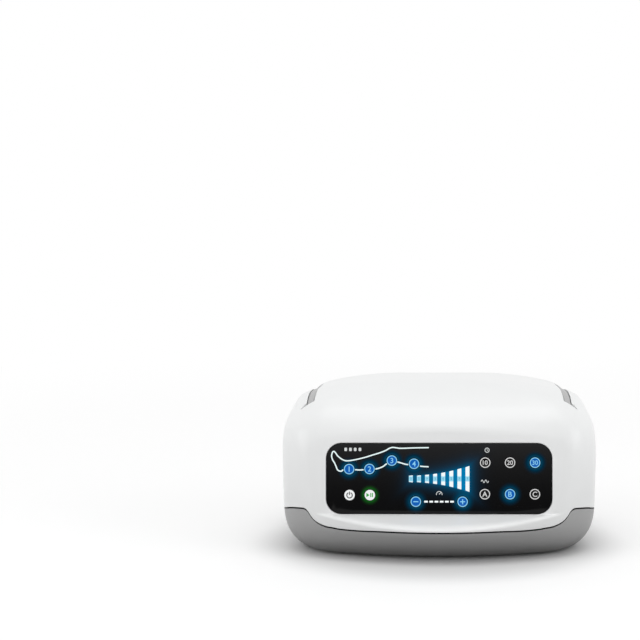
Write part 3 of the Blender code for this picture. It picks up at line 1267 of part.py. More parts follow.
def make_leads():
    """Sheathed leads: from the mains inlet, to the motor, and from board to board."""
    inlet_y = OUTLET_FACE_Y - INLET_BODY_DEPTH - FIT_GAP
    board_y = POWER_BOARD_Y + POWER_BOARD_WIDTH / 2 - BOARD_POST_INSET
    make_lead("mains_lead", RED, [(INLET_X, inlet_y, REAR_Z), (INLET_X, inlet_y - LEAD_START, REAR_Z),
                                  (INLET_X, board_y, REAR_Z), (INLET_X, board_y, BOARD_TOP_Z)])
    motor_x = HEAD_X + HEAD_LENGTH / 2 + 2 * FIT_GAP + MOTOR_LENGTH
    out_x = motor_x + LEAD_START
    side_y = PUMP_Y - MOTOR_TERMINAL_OFFSET
    main_y = MAIN_BOARD_Y + MAIN_BOARD_WIDTH / 2 - BOARD_POST_INSET
    make_lead("motor_lead", DARK_PLASTIC, [(motor_x, side_y, MOTOR_AXIS_Z), (out_x, side_y, MOTOR_AXIS_Z),
                                           (out_x, main_y, MOTOR_AXIS_Z), (out_x, main_y, BOARD_TOP_Z)])
    far_y = POWER_BOARD_Y - POWER_BOARD_WIDTH / 2 + BOARD_POST_INSET
    high = BOARD_TOP_Z + LEAD_START
    make_lead("supply_lead", RED, [(POWER_BOARD_X, far_y, BOARD_TOP_Z), (POWER_BOARD_X, far_y, high),
                                   (POWER_BOARD_X, main_y, high), (POWER_BOARD_X, main_y, BOARD_TOP_Z)])


def make_ribbon():
    """Flat cable from the back of the key board down to the main board."""
    start = panel_frame() @ Vector((0, -KEY_BOARD_HEIGHT * RIBBON_SOCKET_SHARE, BOARD_BACK - FIT_GAP))
    end_y = MAIN_BOARD_Y - MAIN_BOARD_WIDTH * RIBBON_SOCKET_SHARE
    bends = bent([(0, start.y, start.z), (0, end_y, start.z), (0, end_y, BOARD_TOP_Z)], RIBBON_BEND)
    lower = [(point.y, point.z) for point in bends]
    upper = [(y + RIBBON_THICKNESS, z + RIBBON_THICKNESS) for y, z in reversed(lower[1:-1])]
    upper = [(end_y + RIBBON_THICKNESS, BOARD_TOP_Z)] + upper + [(start.y, start.z + RIBBON_THICKNESS)]
    across = Matrix.Translation((MAIN_BOARD_X, 0, 0)) @ Matrix(((0, 0, 1), (1, 0, 0), (0, 1, 0))).to_4x4()
    ribbon = prism("ribbon_cable", lower + upper, -RIBBON_WIDTH / 2, RIBBON_WIDTH / 2, across)
    finish(ribbon, RIBBON_GREY, 0.5)


def main():
    for obj in list(bpy.data.objects):
        bpy.data.objects.remove(obj)
    core, inner = case_solid("case_core_tool", WALL / 2), case_solid("case_inner_tool", WALL)
    skin = case_solid("case_skin_tool", LINER_DROP)
    make_cover(core, inner)
    make_base(core, inner)
    make_panel()
    make_keys()
    make_light_guide()
    make_carrier()
    make_key_board()
    make_groove_liner("groove_liner_left", -1, skin)
    make_groove_liner("groove_liner_right", 1, skin)
    make_feet()
    make_case_screws()
    make_outlets()
    make_inlet()
    make_fan()
    make_valves()
    make_pump()
    make_boards()
    make_hoses()
    make_leads()
    make_ribbon()
    skin.hide_render = core.hide_render = inner.hide_render = True


main()
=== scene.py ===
"""Compression therapy pump: the fine cover, base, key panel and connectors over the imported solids.

Metres, +Z up. The front faces -Y and +X is the viewer's right. The panel's own frame has x to the
right, y up the panel and z outward, with its origin on the facet at the middle of the panel.
"""

import math

import bmesh
import bpy
import numpy as np
from bpy.props import FloatProperty, FloatVectorProperty, PointerProperty
from mathutils import Matrix, Vector
from mathutils.bvhtree import BVHTree


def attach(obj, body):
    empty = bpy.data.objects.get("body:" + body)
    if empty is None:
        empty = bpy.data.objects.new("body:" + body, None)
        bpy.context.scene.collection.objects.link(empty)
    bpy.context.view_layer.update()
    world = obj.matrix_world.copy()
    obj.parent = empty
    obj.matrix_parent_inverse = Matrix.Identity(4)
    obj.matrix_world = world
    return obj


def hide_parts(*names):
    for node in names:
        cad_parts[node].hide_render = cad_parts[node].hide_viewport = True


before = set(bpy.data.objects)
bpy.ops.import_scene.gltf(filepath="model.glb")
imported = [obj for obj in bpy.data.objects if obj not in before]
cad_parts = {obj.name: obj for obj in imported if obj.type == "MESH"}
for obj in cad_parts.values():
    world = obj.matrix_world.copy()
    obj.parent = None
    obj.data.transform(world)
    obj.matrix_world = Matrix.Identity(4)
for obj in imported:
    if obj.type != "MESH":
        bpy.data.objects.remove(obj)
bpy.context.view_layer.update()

bl_info = {
    "name": "Compression therapy pump",
    "version": (1, 0, 0),
    "blender": (4, 5, 0),
    "location": "3D View > Sidebar > Pump",
    "description": "Builds the fine pieces and finishes of a compression therapy pump",
    "category": "Add Mesh",
}

# Case, as in the solids
BODY_WIDTH = 0.280
BODY_DEPTH = 0.206
BODY_HEIGHT = 0.149
WALL = 0.0025
FLOOR_Z = 0.002
FRONT_CORNER_RADIUS = 0.030
BACK_CORNER_RADIUS = 0.035
CORNER_LIMIT_SHARE = 0.333
BACK_TAPER = 0.016
SEAM_FRONT_Z = 0.0296
# Seam's step at a front corner: distance in from the side, and share of the way up
SEAM_STEP = np.array(((0.0190, 1.0), (0.0205, 0.985), (0.0221, 0.94), (0.0242, 0.80), (0.0266, 0.54),
                      (0.0293, 0.35), (0.0329, 0.19), (0.0369, 0.08), (0.0409, 0.015), (0.0457, -0.007),
                      (0.0528, -0.050), (0.0616, -0.057), (0.0704, -0.050), (0.0880, -0.007), (0.1145, 0.0)))
# Seam along a side: distance back from the front, and height
SEAM_SIDE = np.array(((0.0373, 0.0437), (0.0507, 0.0413), (0.0726, 0.0367), (0.0910, 0.0360)))
CROWN_POWER = 2.6
CROWN_CENTRE_Y = 0.010
# Height share, half width share, nose share, bow share and back share, foot to shoulder
CASE_LEVELS = np.array((
    (0.0134, 0.879, -0.709, 0.126, 0.864),
    (0.0403, 0.907, -0.801, 0.150, 0.913),
    (0.0805, 0.942, -0.893, 0.180, 0.956),
    (0.134, 0.972, -0.961, 0.209, 0.985),
    (0.201, 0.990, -1.000, 0.228, 1.000),
    (0.275, 0.996, -0.990, 0.223, 1.000),
    (0.403, 0.998, -0.891, 0.160, 1.000),
    (0.570, 1.000, -0.767, 0.087, 0.990),
    (0.671, 0.997, -0.692, 0.053, 0.971),
    (0.752, 0.984, -0.626, 0.034, 0.932),
    (0.832, 0.944, -0.534, 0.019, 0.854),
    (0.893, 0.903, -0.437, 0.015, 0.748),
    (0.916, 0.881, -0.379, 0.010, 0.670),
))
LEVEL_COUNT = 541
LEVEL_BLUR = 10
# Points of a ring along front, side, back and each corner
RING_POINTS = (132, 34, 56, 22)

# Panel facet, window and panel
PANEL_LEAN = math.radians(10)
PANEL_FOOT_Y = -0.0758
PANEL_FOOT_Z = 0.0409
LEDGE_LENGTH = 0.027
LEDGE_DROP = 0.0075
# Rounding where the case meets the facet, by height: wide over the ledge, tight at the brow
FACET_BLENDS = ((PANEL_FOOT_Z - LEDGE_DROP, 0.012), (PANEL_FOOT_Z, 0.004), (0.092, 0.004), (0.110, 0.0016))
PANEL_WIDTH = 0.1996
PANEL_HEIGHT = 0.0626
PANEL_RADIUS = 0.0135
PANEL_FRONT = -0.0003
PANEL_BACK = -0.0028
FIT_GAP = 0.0003
REBATE_Z = PANEL_BACK - FIT_GAP
REBATE_WIDTH = 0.003
FRAME_WIDTH = 0.0035
FRAME_BACK = REBATE_Z - 0.0025

# Keys, bars and dashes, in the panel's frame
KEY_RADIUS = 0.00505
KEY_CLEAR_RADIUS = 0.0046
KEY_FLANGE_RADIUS = 0.0059
KEY_FLANGE_THICKNESS = 0.0009
KEY_STEM_RADIUS = 0.0020
KEY_STEM_END = FRAME_BACK - FIT_GAP - 0.0036
KEY_PLACES = {
    "key_position_1": (-0.07948, 0.00838),
    "key_position_2": (-0.06146, 0.00855),
    "key_position_3": (-0.04168, 0.01596),
    "key_position_4": (-0.02208, 0.01314),
    "key_power": (-0.07912, -0.01455),
    "key_play_pause": (-0.06112, -0.01455),
    "key_pressure_minus": (-0.02050, -0.02037),
    "key_pressure_plus": (0.02084, -0.02037),
    "key_time_10": (0.04080, 0.01420),
    "key_time_20": (0.06271, 0.01420),
    "key_time_30": (0.08479, 0.01420),
    "key_mode_a": (0.04046, -0.01367),
    "key_mode_b": (0.06271, -0.01367),
    "key_mode_c": (0.08461, -0.01367),
}
LIT_KEYS = ("key_position_1", "key_position_2", "key_position_3", "key_position_4",
            "key_pressure_minus", "key_pressure_plus", "key_time_30", "key_mode_b")
BAR_PITCH = 0.00715
BAR_WIDTH = 0.0029
BAR_FIRST_X = -0.0249
BAR_CENTRE_Y = -0.0002
BAR_HEIGHT_SHARES = (0.289, 0.296, 0.352, 0.423, 0.522, 0.656, 0.826, 1.0)
BAR_TALLEST = 0.0223
BAR_SLANT_SHARE = 0.055
BAR_END_INSET = 0.0006
DASH_COUNT = 6
DASH_PITCH = 0.0046
DASH_SIZE = (0.0027, 0.0010)
BAR_CORNER = 0.0003
GUIDE_MARGIN = 0.0008
GUIDE_EDGE = 0.00012
# Middles of the signs over the groups of keys
CUFF_SIGN = (-0.0762, 0.0258)
CLOCK_SIGN = (0.0425, 0.0252)
WAVE_SIGN = (0.0405, -0.0023)
GAUGE_SIGN = (0.0002, -0.0138)
# Half length and half width of the minus and plus, and the size of two figures beside one
SIGN_ARM = (0.0022, 0.00045)
TWO_FIGURES_SHARE = 0.86

# Light in the panel: linear colours of the halos, and where a bar's middle tint starts and ends
KEY_BLACK = "#0E0E0F"
KEY_GLOW = (0.0, 0.056, 0.117)
START_GLOW = (0.001, 0.117, 0.005)
BAR_GLOW = (0.0, 0.200, 0.440)
BAR_MIDDLE_REACH = (0.0016, 0.0030)
# Halo of the bars: where its full light starts and ends, the depth to which it fades by a factor of e, its
# strength outside the bars, and its share at the shortest bar
HALO_EDGE = (0.0006, -0.0010)
HALO_FADE = 0.0038
HALO_OUTSIDE = 0.4
HALO_SHORTEST = 0.42
# Share of the panel's black that is left at its foot: a painted reflection keeps the black lighter at the
# top and darker towards the foot
PANEL_PAINTED_REFLECTION_FOOT_SHARE = 0.2

# Shoulder grooves and the strips in them
GROOVE_X = 0.1146
GROOVE_WIDTH = 0.0062
GROOVE_FLOOR_Z = 0.127
GROOVE_ENDS_Y = (-0.0345, 0.050)
GROOVE_TOE_IN = 0.0066
GROOVE_NOTCH = 0.0056
GROOVE_NOTCH_FORWARD = 0.0025
GROOVE_NOTCH_BACK = 0.0015
GROOVE_CORNER = 0.0009
STRIP_DROP = 0.0010
STRIP_CLEARANCE = 0.0002
STRIP_ROWS = 60

# Underside
FOOT_RADIUS = 0.008
FOOT_SEAT = 0.0012
FOOT_RIM = 0.0008
FOOT_PLACES = {"front_left": (-0.078, -0.036), "back_left": (-0.078, 0.062),
               "front_right": (0.078, -0.036), "back_right": (0.078, 0.062)}
POST_PLACES = {"front_left": (-0.100, -0.034), "back_left": (-0.100, 0.060),
               "front_right": (0.100, -0.034), "back_right": (0.100, 0.060)}
POST_RADIUS = 0.00525
BOSS_RADIUS = 0.004
POST_TOP_Z = 0.030
SCREW_BORE_RADIUS = 0.0020
SCREW_SHANK_RADIUS = 0.0016
SCREW_HEAD_RADIUS = 0.0033
SCREW_HEAD_HEIGHT = 0.0022
SCREW_REACH = 0.010
CROSS_ARM = (0.0017, 0.0004)
CROSS_DEPTH = 0.0011
COUNTERBORE_RADIUS = 0.0038
COUNTERBORE_DEPTH = 0.014
SLOT_COUNT = 6
SLOT_PITCH = 0.0052
SLOT_SIZE = (0.0024, 0.016)
EDGE_FLARE = 0.0004
INTAKE_PLACE = (0.010, -0.0144)

# Back
REAR_PAD_INNER_Y = 0.091
REAR_PAD_Z = (0.010, 0.0335)
REAR_Z = 0.0222
FAN_PLACE = (0.026, 0.0228)
FAN_BACK_Y = 0.0875
CONNECTOR_FACE_Y = 0.1002
FLANGE_Y = (0.0887, 0.0907)
FLANGE_MARGIN = 0.0025
FLANGE_CORNER = 0.001
SOCKET_CORNER = 0.0006
SOCKET_ROUNDING = 0.0004
CAVITY_LIP = 0.0005
OUTLET_X = {"air_outlet_left": -0.057, "air_outlet_right": -0.018}
OUTLET_SIZE = (0.032, 0.014)
OUTLET_CAVITY = (0.026, 0.0085, 0.0028, 0.0082)
LUMEN_PITCH = 0.0062
LUMEN_RADIUS = 0.0015
INLET_X = 0.060
INLET_SIZE = (0.022, 0.0135)
INLET_CAVITY = (0.0164, 0.0090, 0.0041, 0.0120)
INLET_BACK_Y = 0.0842
PIN_PITCH = 0.0086
PIN_RADIUS = 0.00115
PIN_SHORT = 0.0046

# View of the photograph, in pixels of a square frame of this many
FRAME_PIXELS = 640
PIXELS_PER_METRE = 311 / BODY_WIDTH
VIEW_ELEVATION = math.radians(12)
VIEW_DISTANCE = 3.0
VIEW_POINT = (0.0, -0.02, 0.072)
VIEW_POINT_PIXEL = (439, 466.5)
SENSOR_MM = 36

# Studio: where the floor fades to white, the soft shade painted on it round the pump and what it gives back
# to the pump by distance (painted darker close by), and the room seen in gloss by direction, each from, to
# and the values there
FLOOR_FADE = (0.35, 1.0)
FLOOR_PAINTED_SHADE = (0.10, 0.16, 0.76, 1.0)
FLOOR_RETURN = (0.13, 0.30, 0.12, 0.85)
GLOSS_ROOM = (-0.9, 0.3, 0.12, 1.0)
LAMP_AIM = (0, 0, 0.08)
LAMP_SIZE = 1.2

# Modelling
OVERRUN = 0.004
SHARP_ANGLE = math.radians(32)
ROUND_POINTS = 64
SMALL_ROUND_POINTS = 32
CORNER_POINTS = 14
ROUNDING_STEPS = 4
PATH_STEPS = 8


def linear(hex_colour):
    """Linear colour, with alpha, of an sRGB hex value."""
    shares = [int(hex_colour[start:start + 2], 16) / 255 for start in (1, 3, 5)]
    return tuple(s / 12.92 if s <= 0.04045 else ((s + 0.055) / 1.055) ** 2.4 for s in shares) + (1.0,)


def size_property(name, description, default):
    return FloatProperty(name=name, description=description, default=default, min=0, precision=5,
                         subtype="DISTANCE", unit="LENGTH")


def colour_property(name, description, default):
    return FloatVectorProperty(name=name, description=description, default=linear(default), min=0, max=1,
                               size=4, subtype="COLOR")


class PumpSizes(bpy.types.PropertyGroup):
    """Small sizes of the fine pieces"""

    seam_gap: size_property("Seam gap", "Gap between cover and base", 0.0014)
    edge_rounding: size_property("Edge rounding", "Radius of the moulded edges along the seam", 0.0005)
    window_rounding: size_property("Window rounding", "Radius of the edge round the panel window", 0.0009)
    groove_rounding: size_property("Groove rounding", "Radius of the edge round a shoulder groove", 0.0004)
    strip_rounding: size_property("Strip rounding", "Radius of the strip's long edges", 0.0005)
    panel_rounding: size_property("Panel rounding", "Radius of the panel's ground edge", 0.0005)
    key_rounding: size_property("Key rounding", "Radius of a key's edge", 0.0001)
    key_ring_width: size_property("Key ring", "Width of the ring printed on a key", 0.00078)
    figure_height: size_property("Figure height", "Height of the figure on a key", 0.0046)
    print_thickness: size_property("Ink thickness", "Thickness of the printed ink", 0.00003)
    line_width: size_property("Line width", "Width of the printed leg line", 0.0011)
    sign_line_width: size_property("Sign line", "Line width of the small signs", 0.0006)
    glow_reach: size_property("Glow reach", "How far the light of a key spreads in the panel", 0.0065)


class PumpColours(bpy.types.PropertyGroup):
    """Colours of the outer finishes"""

    cover: colour_property("Cover", "White of the cover", "#E8E9E9")
    base: colour_property("Base", "Grey of the base tray", "#A0A0A0")
    groove: colour_property("Groove", "Grey of the strips in the grooves", "#B0B0B0")
    # The panel's black is painted lighter at its top as a reflection; this is its colour there
    panel: colour_property("Panel", "Black of the panel at its top", "#252526")
    key_lit: colour_property("Lit key", "Light through a lit key", "#005BB2")
    ink_lit: colour_property("Lit ink", "Light through the print of a lit key", "#84CCF0")
    ink: colour_property("Ink", "White printing ink", "#DADADA")
    line: colour_property("Line", "Light through the leg line", "#EAFBFB")
    light: colour_property("Light", "Light through the ends of the bars", "#F6FCFC")
    light_middle: colour_property("Middle light", "Light through the middles of the bars", "#96DDF6")
    ready: colour_property("Ready green", "Green of the start sign", "#23A532")
    rubber: colour_property("Rubber", "Black of the feet", "#1C1C1D")
    nylon: colour_property("Nylon", "Black of the sockets", "#232324")


class PumpStudio(bpy.types.PropertyGroup):
    """Plain studio light"""

    horizon: FloatProperty(name="Horizon", description="Sky strength at the horizon", default=1.0, min=0)
    zenith: FloatProperty(name="Zenith", description="Sky strength overhead", default=0.70, min=0)
    overhead: FloatProperty(name="Overhead lamp", default=0.17, min=0,
                            description="Share of full white that the lamp overhead adds")
    side: FloatProperty(name="Front lamps", default=0.12, min=0,
                        description="Share of full white that each lamp in front adds")


# Meshes


def new_piece(name, bm):
    """Object made from a bmesh, with its faces turned outward."""
    bmesh.ops.recalc_face_normals(bm, faces=bm.faces)
    mesh = bpy.data.meshes.new(name)
    bm.to_mesh(mesh)
    bm.free()
    piece = bpy.data.objects.new(name, mesh)
    bpy.context.scene.collection.objects.link(piece)
    return piece


def add_loft(bm, rings, place=Matrix(), ends=True, closed=False):
    """Add a skin over rings of equal count; a ring of one point closes to a tip. The ends are capped, or
    joined where it is closed."""
    rows = [[bm.verts.new(place @ Vector(point)) for point in ring] for ring in rings]
    if closed:
        rows.append(rows[0])
    count = max(len(row) for row in rows)
    for low, high in zip(rows, rows[1:]):
        for i in range(count):
            j = (i + 1) % count
            loop = [low[i % len(low)], low[j % len(low)], high[j % len(high)], high[i % len(high)]]
            bm.faces.new(list(dict.fromkeys(loop)))
    if ends and not closed:
        for row in (rows[0], rows[-1]):
            if len(row) > 2:
                bm.faces.new(row)


def lofted(name, rings, place=Matrix(), ends=True):
    bm = bmesh.new()
    add_loft(bm, rings, place, ends)
    return new_piece(name, bm)


def add_plate(bm, outline, low, high, place=Matrix()):
    """Add the prism of an outline between two heights."""
    add_loft(bm, [raised(outline, z) for z in (low, high)], place)


def settle(piece):
    """Apply a piece's modifiers."""
    mesh = bpy.data.meshes.new_from_object(piece.evaluated_get(bpy.context.evaluated_depsgraph_get()))
    old = piece.data
    piece.modifiers.clear()
    piece.data = mesh
    bpy.data.meshes.remove(old)


def carve(piece, tool, operation="DIFFERENCE"):
    """Cut, join or keep what is common with a tool, which goes away afterwards."""
    modifier = piece.modifiers.new("Carve", "BOOLEAN")
    modifier.operation = operation
    modifier.solver = "EXACT"
    modifier.object = tool
    settle(piece)
    bpy.data.objects.remove(tool)


def polish(piece, material, slot, body, *nodes):
    """Smooth shading with sharp edges kept, the finish, and the piece's place in the frame."""
    piece.data.shade_smooth()
    piece.data.set_sharp_from_angle(angle=SHARP_ANGLE)
    piece.data.materials.clear()
    piece.data.materials.append(material)
    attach(piece, body)
    if nodes:
        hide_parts(*nodes)


def arc(centre, radius, start, end, count):
    """Points on an arc, angles in degrees."""
    return [(centre[0] + radius * math.cos(a), centre[1] + radius * math.sin(a))
            for a in np.radians(np.linspace(start, end, count + 1))]


def circle(radius, centre=(0, 0), count=ROUND_POINTS):
    return arc(centre, radius, 0, 360, count)[:-1]


def rounded_rectangle(width, height, radius, centre=(0, 0), points=CORNER_POINTS, margin=0):
    """Outline with rounded corners, its width and height grown by a margin on every side."""
    width, height = width + 2 * margin, height + 2 * margin
    outline = []
    for sign_x, sign_y, start in ((1, 1, 0), (-1, 1, 90), (-1, -1, 180), (1, -1, 270)):
        corner = (centre[0] + sign_x * (width / 2 - radius), centre[1] + sign_y * (height / 2 - radius))
        outline += arc(corner, radius, start, start + 90, points)
    return outline


def box_outline(half_width, half_height, centre=(0, 0)):
    """Corners of a rectangle, anticlockwise from the lower left."""
    x, y = centre
    return [(x - half_width, y - half_height), (x + half_width, y - half_height),
            (x + half_width, y + half_height), (x - half_width, y + half_height)]


def plus_outline(arm, half, centre=(0, 0)):
    """Corners of an upright cross, anticlockwise from the lower left of its left arm."""
    corners = ((-arm, -half), (-half, -half), (-half, -arm), (half, -arm), (half, -half), (arm, -half),
               (arm, half), (half, half), (half, arm), (-half, arm), (-half, half), (-arm, half))
    return [(centre[0] + x, centre[1] + y) for x, y in corners]


def raised(outline, z):
    return [(x, y, z) for x, y in outline]


def turned(profile, centre=(0, 0), points=SMALL_ROUND_POINTS):
    """Rings of a turned shape, from its radii and heights."""
    return [raised(circle(radius, centre, points), z) for radius, z in profile]


def rounding(radius):
    """Offsets and heights of a rounded edge, from the wall (0, -radius) to the face (radius, 0)."""
    return [(radius - radius * math.cos(a), radius * math.sin(a) - radius)
            for a in np.radians(np.linspace(0, 90, ROUNDING_STEPS + 1))]


def spread(count, pitch):
    """Places of a row of things, centred on zero."""
    return [(index - (count - 1) / 2) * pitch for index in range(count)]


def corner_curves(outline, reach, points):
    """Each corner of an outline, the next one, and the corner's rounding from this far on either side."""
    corners = np.array(outline)
    for before, corner, after in zip(np.roll(corners, 1, axis=0), corners, np.roll(corners, -1, axis=0)):
        start, end = [corner + (other - corner) / np.linalg.norm(other - corner) * reach
                      for other in (before, after)]
        yield corner, after, [start * (1 - t) ** 2 + corner * 2 * t * (1 - t) + end * t ** 2
                              for t in np.linspace(0, 1, points + 1)]


def outward_normals(outline):
    """Unit normals, pointing out, at the points of an outline that runs anticlockwise."""
    points = np.array(outline)[:, :2]
    along = np.roll(points, -1, axis=0) - np.roll(points, 1, axis=0)
    normals = np.stack([along[:, 1], -along[:, 0]], axis=1)
    return normals / np.linalg.norm(normals, axis=1, keepdims=True)


# Case


def monotone(places, values, at):
    """Smooth values between the rows of a table, without overshoot; held beyond its ends."""
    at = np.clip(at, places[0], places[-1])
    steps = np.diff(places)
    slopes = np.diff(values) / steps
    mixed = slopes[:-1] * slopes[1:]
    sums = np.where(mixed > 0, slopes[:-1] + slopes[1:], 1)
    tangents = np.concatenate([slopes[:1], np.where(mixed > 0, 2 * mixed / sums, 0), slopes[-1:]])
    row = np.clip(np.searchsorted(places, at, side="right") - 1, 0, len(steps) - 1)
    t = (at - places[row]) / steps[row]
    s = 1 - t
    level = values[row] * s * s * (1 + 2 * t) + values[row + 1] * t * t * (1 + 2 * s)
    return level + steps[row] * t * s * (tangents[row] * s - tangents[row + 1] * t)


def blurred(values):
    """Values averaged with their neighbours, with both ends held."""
    reach = 3 * LEVEL_BLUR
    weights = np.exp(-(np.arange(-reach, reach + 1) / LEVEL_BLUR) ** 2 / 2)
    before = 2 * values[0] - values[reach:0:-1]
    after = 2 * values[-1] - values[-2:-reach - 2:-1]
    return np.convolve(np.concatenate([before, values, after]), weights / weights.sum(), "valid")


def soft_max(a, b, width):
    """The larger of two values, with a rounded change from one to the other."""
    overlap = np.maximum(0, (width - np.abs(a - b)) / width)
    return np.maximum(a, b) + width * overlap * overlap / 4


def plan_rings(half, nose, bow, back):
    """Plan outlines of the case, one a level, running anticlockwise from the front left corner."""
    front = nose + bow
    limit = (back - front) * CORNER_LIMIT_SHARE
    near, far = np.minimum(FRONT_CORNER_RADIUS, limit), np.minimum(BACK_CORNER_RADIUS, limit)
    rear = half - BACK_TAPER
    corners = ((near - half, front + near, near, 180), (half - near, front + near, near, 270),
               (rear - far, back - far, far, 0), (far - rear, back - far, far, 90))
    front_count, side_count, back_count, corner_count = RING_POINTS
    turns = np.radians(np.linspace(0, 90, corner_count + 1))
    arcs = [(x[:, None] + radius[:, None] * np.cos(math.radians(start) + turns),
             y[:, None] + radius[:, None] * np.sin(math.radians(start) + turns))
            for x, y, radius, start in corners]
    columns = []
    for index, count in enumerate((front_count, side_count, back_count, side_count)):
        here, there = arcs[index], arcs[(index + 1) % len(arcs)]
        shares = np.arange(1, count) / count
        columns.append([np.concatenate([start, start[:, -1:] * (1 - shares) + end[:, :1] * shares], axis=1)
                        for start, end in zip(here, there)])
    x, y = (np.concatenate(parts, axis=1) for parts in zip(*columns))
    reach = np.maximum(0, (back[:, None] - y) / (back - front)[:, None])
    return x, y - bow[:, None] * (1 - (x / half[:, None]) ** 2) * reach ** 2


def case_rings(inset):
    """Rings of the case from foot to shoulder, moved inward by the inset: levels, points and x, y, z."""
    lowest, rim = CASE_LEVELS[0, 0], CASE_LEVELS[-1, 0]
    shares = np.linspace(lowest, rim, LEVEL_COUNT)
    half, nose, bow, back = (blurred(monotone(CASE_LEVELS[:, 0], CASE_LEVELS[:, column], shares))
                             for column in range(1, 5))
    z = FLOOR_Z + inset + (shares - lowest) / (1 - lowest) * (BODY_HEIGHT - FLOOR_Z - 2 * inset)
    x, y = plan_rings(half * BODY_WIDTH / 2 - inset, nose * BODY_DEPTH / 2 + inset, bow * BODY_DEPTH,
                      back * BODY_DEPTH / 2 - inset)
    foot = PANEL_FOOT_Y + inset / math.cos(PANEL_LEAN)
    facet = np.where(z >= PANEL_FOOT_Z, foot + (z - PANEL_FOOT_Z) * math.tan(PANEL_LEAN),
                     foot - (PANEL_FOOT_Z - z) * LEDGE_LENGTH / LEDGE_DROP)
    blend = np.interp(z, *zip(*FACET_BLENDS))
    y = np.where(y < 0, soft_max(y, facet[:, None], blend[:, None]), y)
    return np.stack([x, y, np.broadcast_to(z[:, None], x.shape)], axis=2)


def at_height(rings, z):
    """Points of the case's columns, each at its own height."""
    span = rings[-1, 0, 2] - rings[0, 0, 2]
    level = (np.broadcast_to(z, rings.shape[1:2]) - rings[0, 0, 2]) / span * (len(rings) - 1)
    low = np.clip(level.astype(int), 0, len(rings) - 2)
    share = (level - low)[:, None]
    columns = np.arange(rings.shape[1])
    return rings[low, columns] * (1 - share) + rings[low + 1, columns] * share


def seam_z(x, y):
    """Height of the seam: low across the front, high all round the rest."""
    share = np.where(y > 0, 1, monotone(*SEAM_STEP.T, BODY_WIDTH / 2 - np.abs(x)))
    return SEAM_FRONT_Z + (monotone(*SEAM_SIDE.T, y + BODY_DEPTH / 2) - SEAM_FRONT_Z) * share


def seam_heights(rings):
    """Height of the seam at each column of the case."""
    z = np.full(rings.shape[1], SEAM_FRONT_Z)
    for _ in range(20):
        points = at_height(rings, z)
        z = seam_z(points[:, 0], points[:, 1])
    return z


def shifted_in(points, distance):
    moved = points.copy()
    moved[:, :2] -= outward_normals(points) * distance
    return moved


def crown_rings(rim, top_z, shares):
    """Rings that close the case with a low dome."""
    rings = []
    for share in shares:
        ring = rim * share
        ring[:, 1] = CROWN_CENTRE_Y + (rim[:, 1] - CROWN_CENTRE_Y) * share
        ring[:, 2] = rim[0, 2] + (top_z - rim[0, 2]) * (1 - share ** CROWN_POWER)
        rings.append(ring)
    return rings


def eased(rows, middle, reach, rounds):
    """Rows rounded off round one of them, most at the middle and less towards the reach."""
    grid = np.array(rows)
    weight = np.clip(1 - np.abs(np.arange(len(grid)) - middle) / reach, 0, 1)[:, None, None]
    for _ in range(rounds):
        mean = grid.copy()
        mean[1:-1] = (grid[:-2] + 2 * grid[1:-1] + grid[2:]) / 4
        grid = grid + (mean - grid) * np.minimum(1, 2 * weight)
    return list(grid)


def cover_rows(sizes):
    """Rows of the cover, from the inside of its dome over the seam edge to the outside."""
    outer, inner = case_rings(0), case_rings(WALL)
    seam = seam_heights(outer)
    edge = seam + sizes.seam_gap / 2
    rim_z, inner_rim_z = outer[-1, 0, 2], inner[-1, 0, 2]
    # Close rows over the front lip, the foot of the panel and the brow, wider ones up the sides
    lowest = SEAM_FRONT_Z + sizes.seam_gap / 2 + sizes.edge_rounding
    runs = [np.arange(low, high, step) for low, high, step in
            ((lowest + 0.00016, 0.0355, 0.00016), (0.0355, 0.0402, 0.0004), (0.0402, 0.0415, 0.0002),
             (0.0416, 0.1059, 0.0014), (0.106, 0.1199, 0.0006), (0.120, rim_z - 0.0002, 0.0005))]
    shares = (np.concatenate(runs) - lowest) / (rim_z - lowest)
    inside = crown_rings(inner[-1], BODY_HEIGHT - WALL, np.linspace(0.04, 0.94, 9))
    inside += [at_height(inner, edge + (inner_rim_z - edge) * share) for share in [1, *shares[::-3], 0]]
    lip = [shifted_in(at_height(outer, edge + sizes.edge_rounding + z), offset)
           for offset, z in reversed(rounding(sizes.edge_rounding))]
    start = edge + sizes.edge_rounding
    outside = [at_height(outer, start + (rim_z - start) * share) for share in shares]
    middle = len(outside)
    outside.append(outer[-1].copy())
    shares = np.concatenate([np.arange(0.995, 0.93, -0.005), np.linspace(0.92, 0.03, 40)])
    outside += crown_rings(outer[-1], BODY_HEIGHT, shares)
    outside = eased(outside, middle, 11, 26)
    poles = [[(0, CROWN_CENTRE_Y, BODY_HEIGHT - WALL)], [(0, CROWN_CENTRE_Y, BODY_HEIGHT)]]
    return [poles[0]] + inside + lip + outside + [poles[1]]


def base_rows(sizes):
    """Rows of the base, from the inside of its floor over the seam edge to the underside."""
    outer, inner = case_rings(0), case_rings(WALL)
    edge = seam_heights(outer) - sizes.seam_gap / 2
    floor_z = inner[0, 0, 2]
    inside = [inner[0] * (share, share, 1) for share in np.linspace(0.1, 0.9, 5)]
    # The wall's top slopes down inward, so the seam shows dark
    inner_edge = edge - sizes.seam_gap
    inside += [at_height(inner, floor_z + (inner_edge - floor_z) * share) for share in np.linspace(0, 1, 14)]
    lip = [shifted_in(at_height(outer, edge - sizes.edge_rounding - z), offset)
           for offset, z in reversed(rounding(sizes.edge_rounding))]
    start = edge - sizes.edge_rounding
    outside = [at_height(outer, start + (FLOOR_Z - start) * share) for share in np.linspace(0.02, 1, 52)]
    middle = len(outside) - 1
    outside += [outer[0] * (share, share, 1) for share in np.linspace(0.993, 0.93, 10)]
    outside = eased(outside, middle, 5, 6)
    outside += [outer[0] * (share, share, 1) for share in np.linspace(0.85, 0.1, 6)]
    return [[(0, 0, floor_z)]] + inside + lip + outside + [[(0, 0, FLOOR_Z)]]


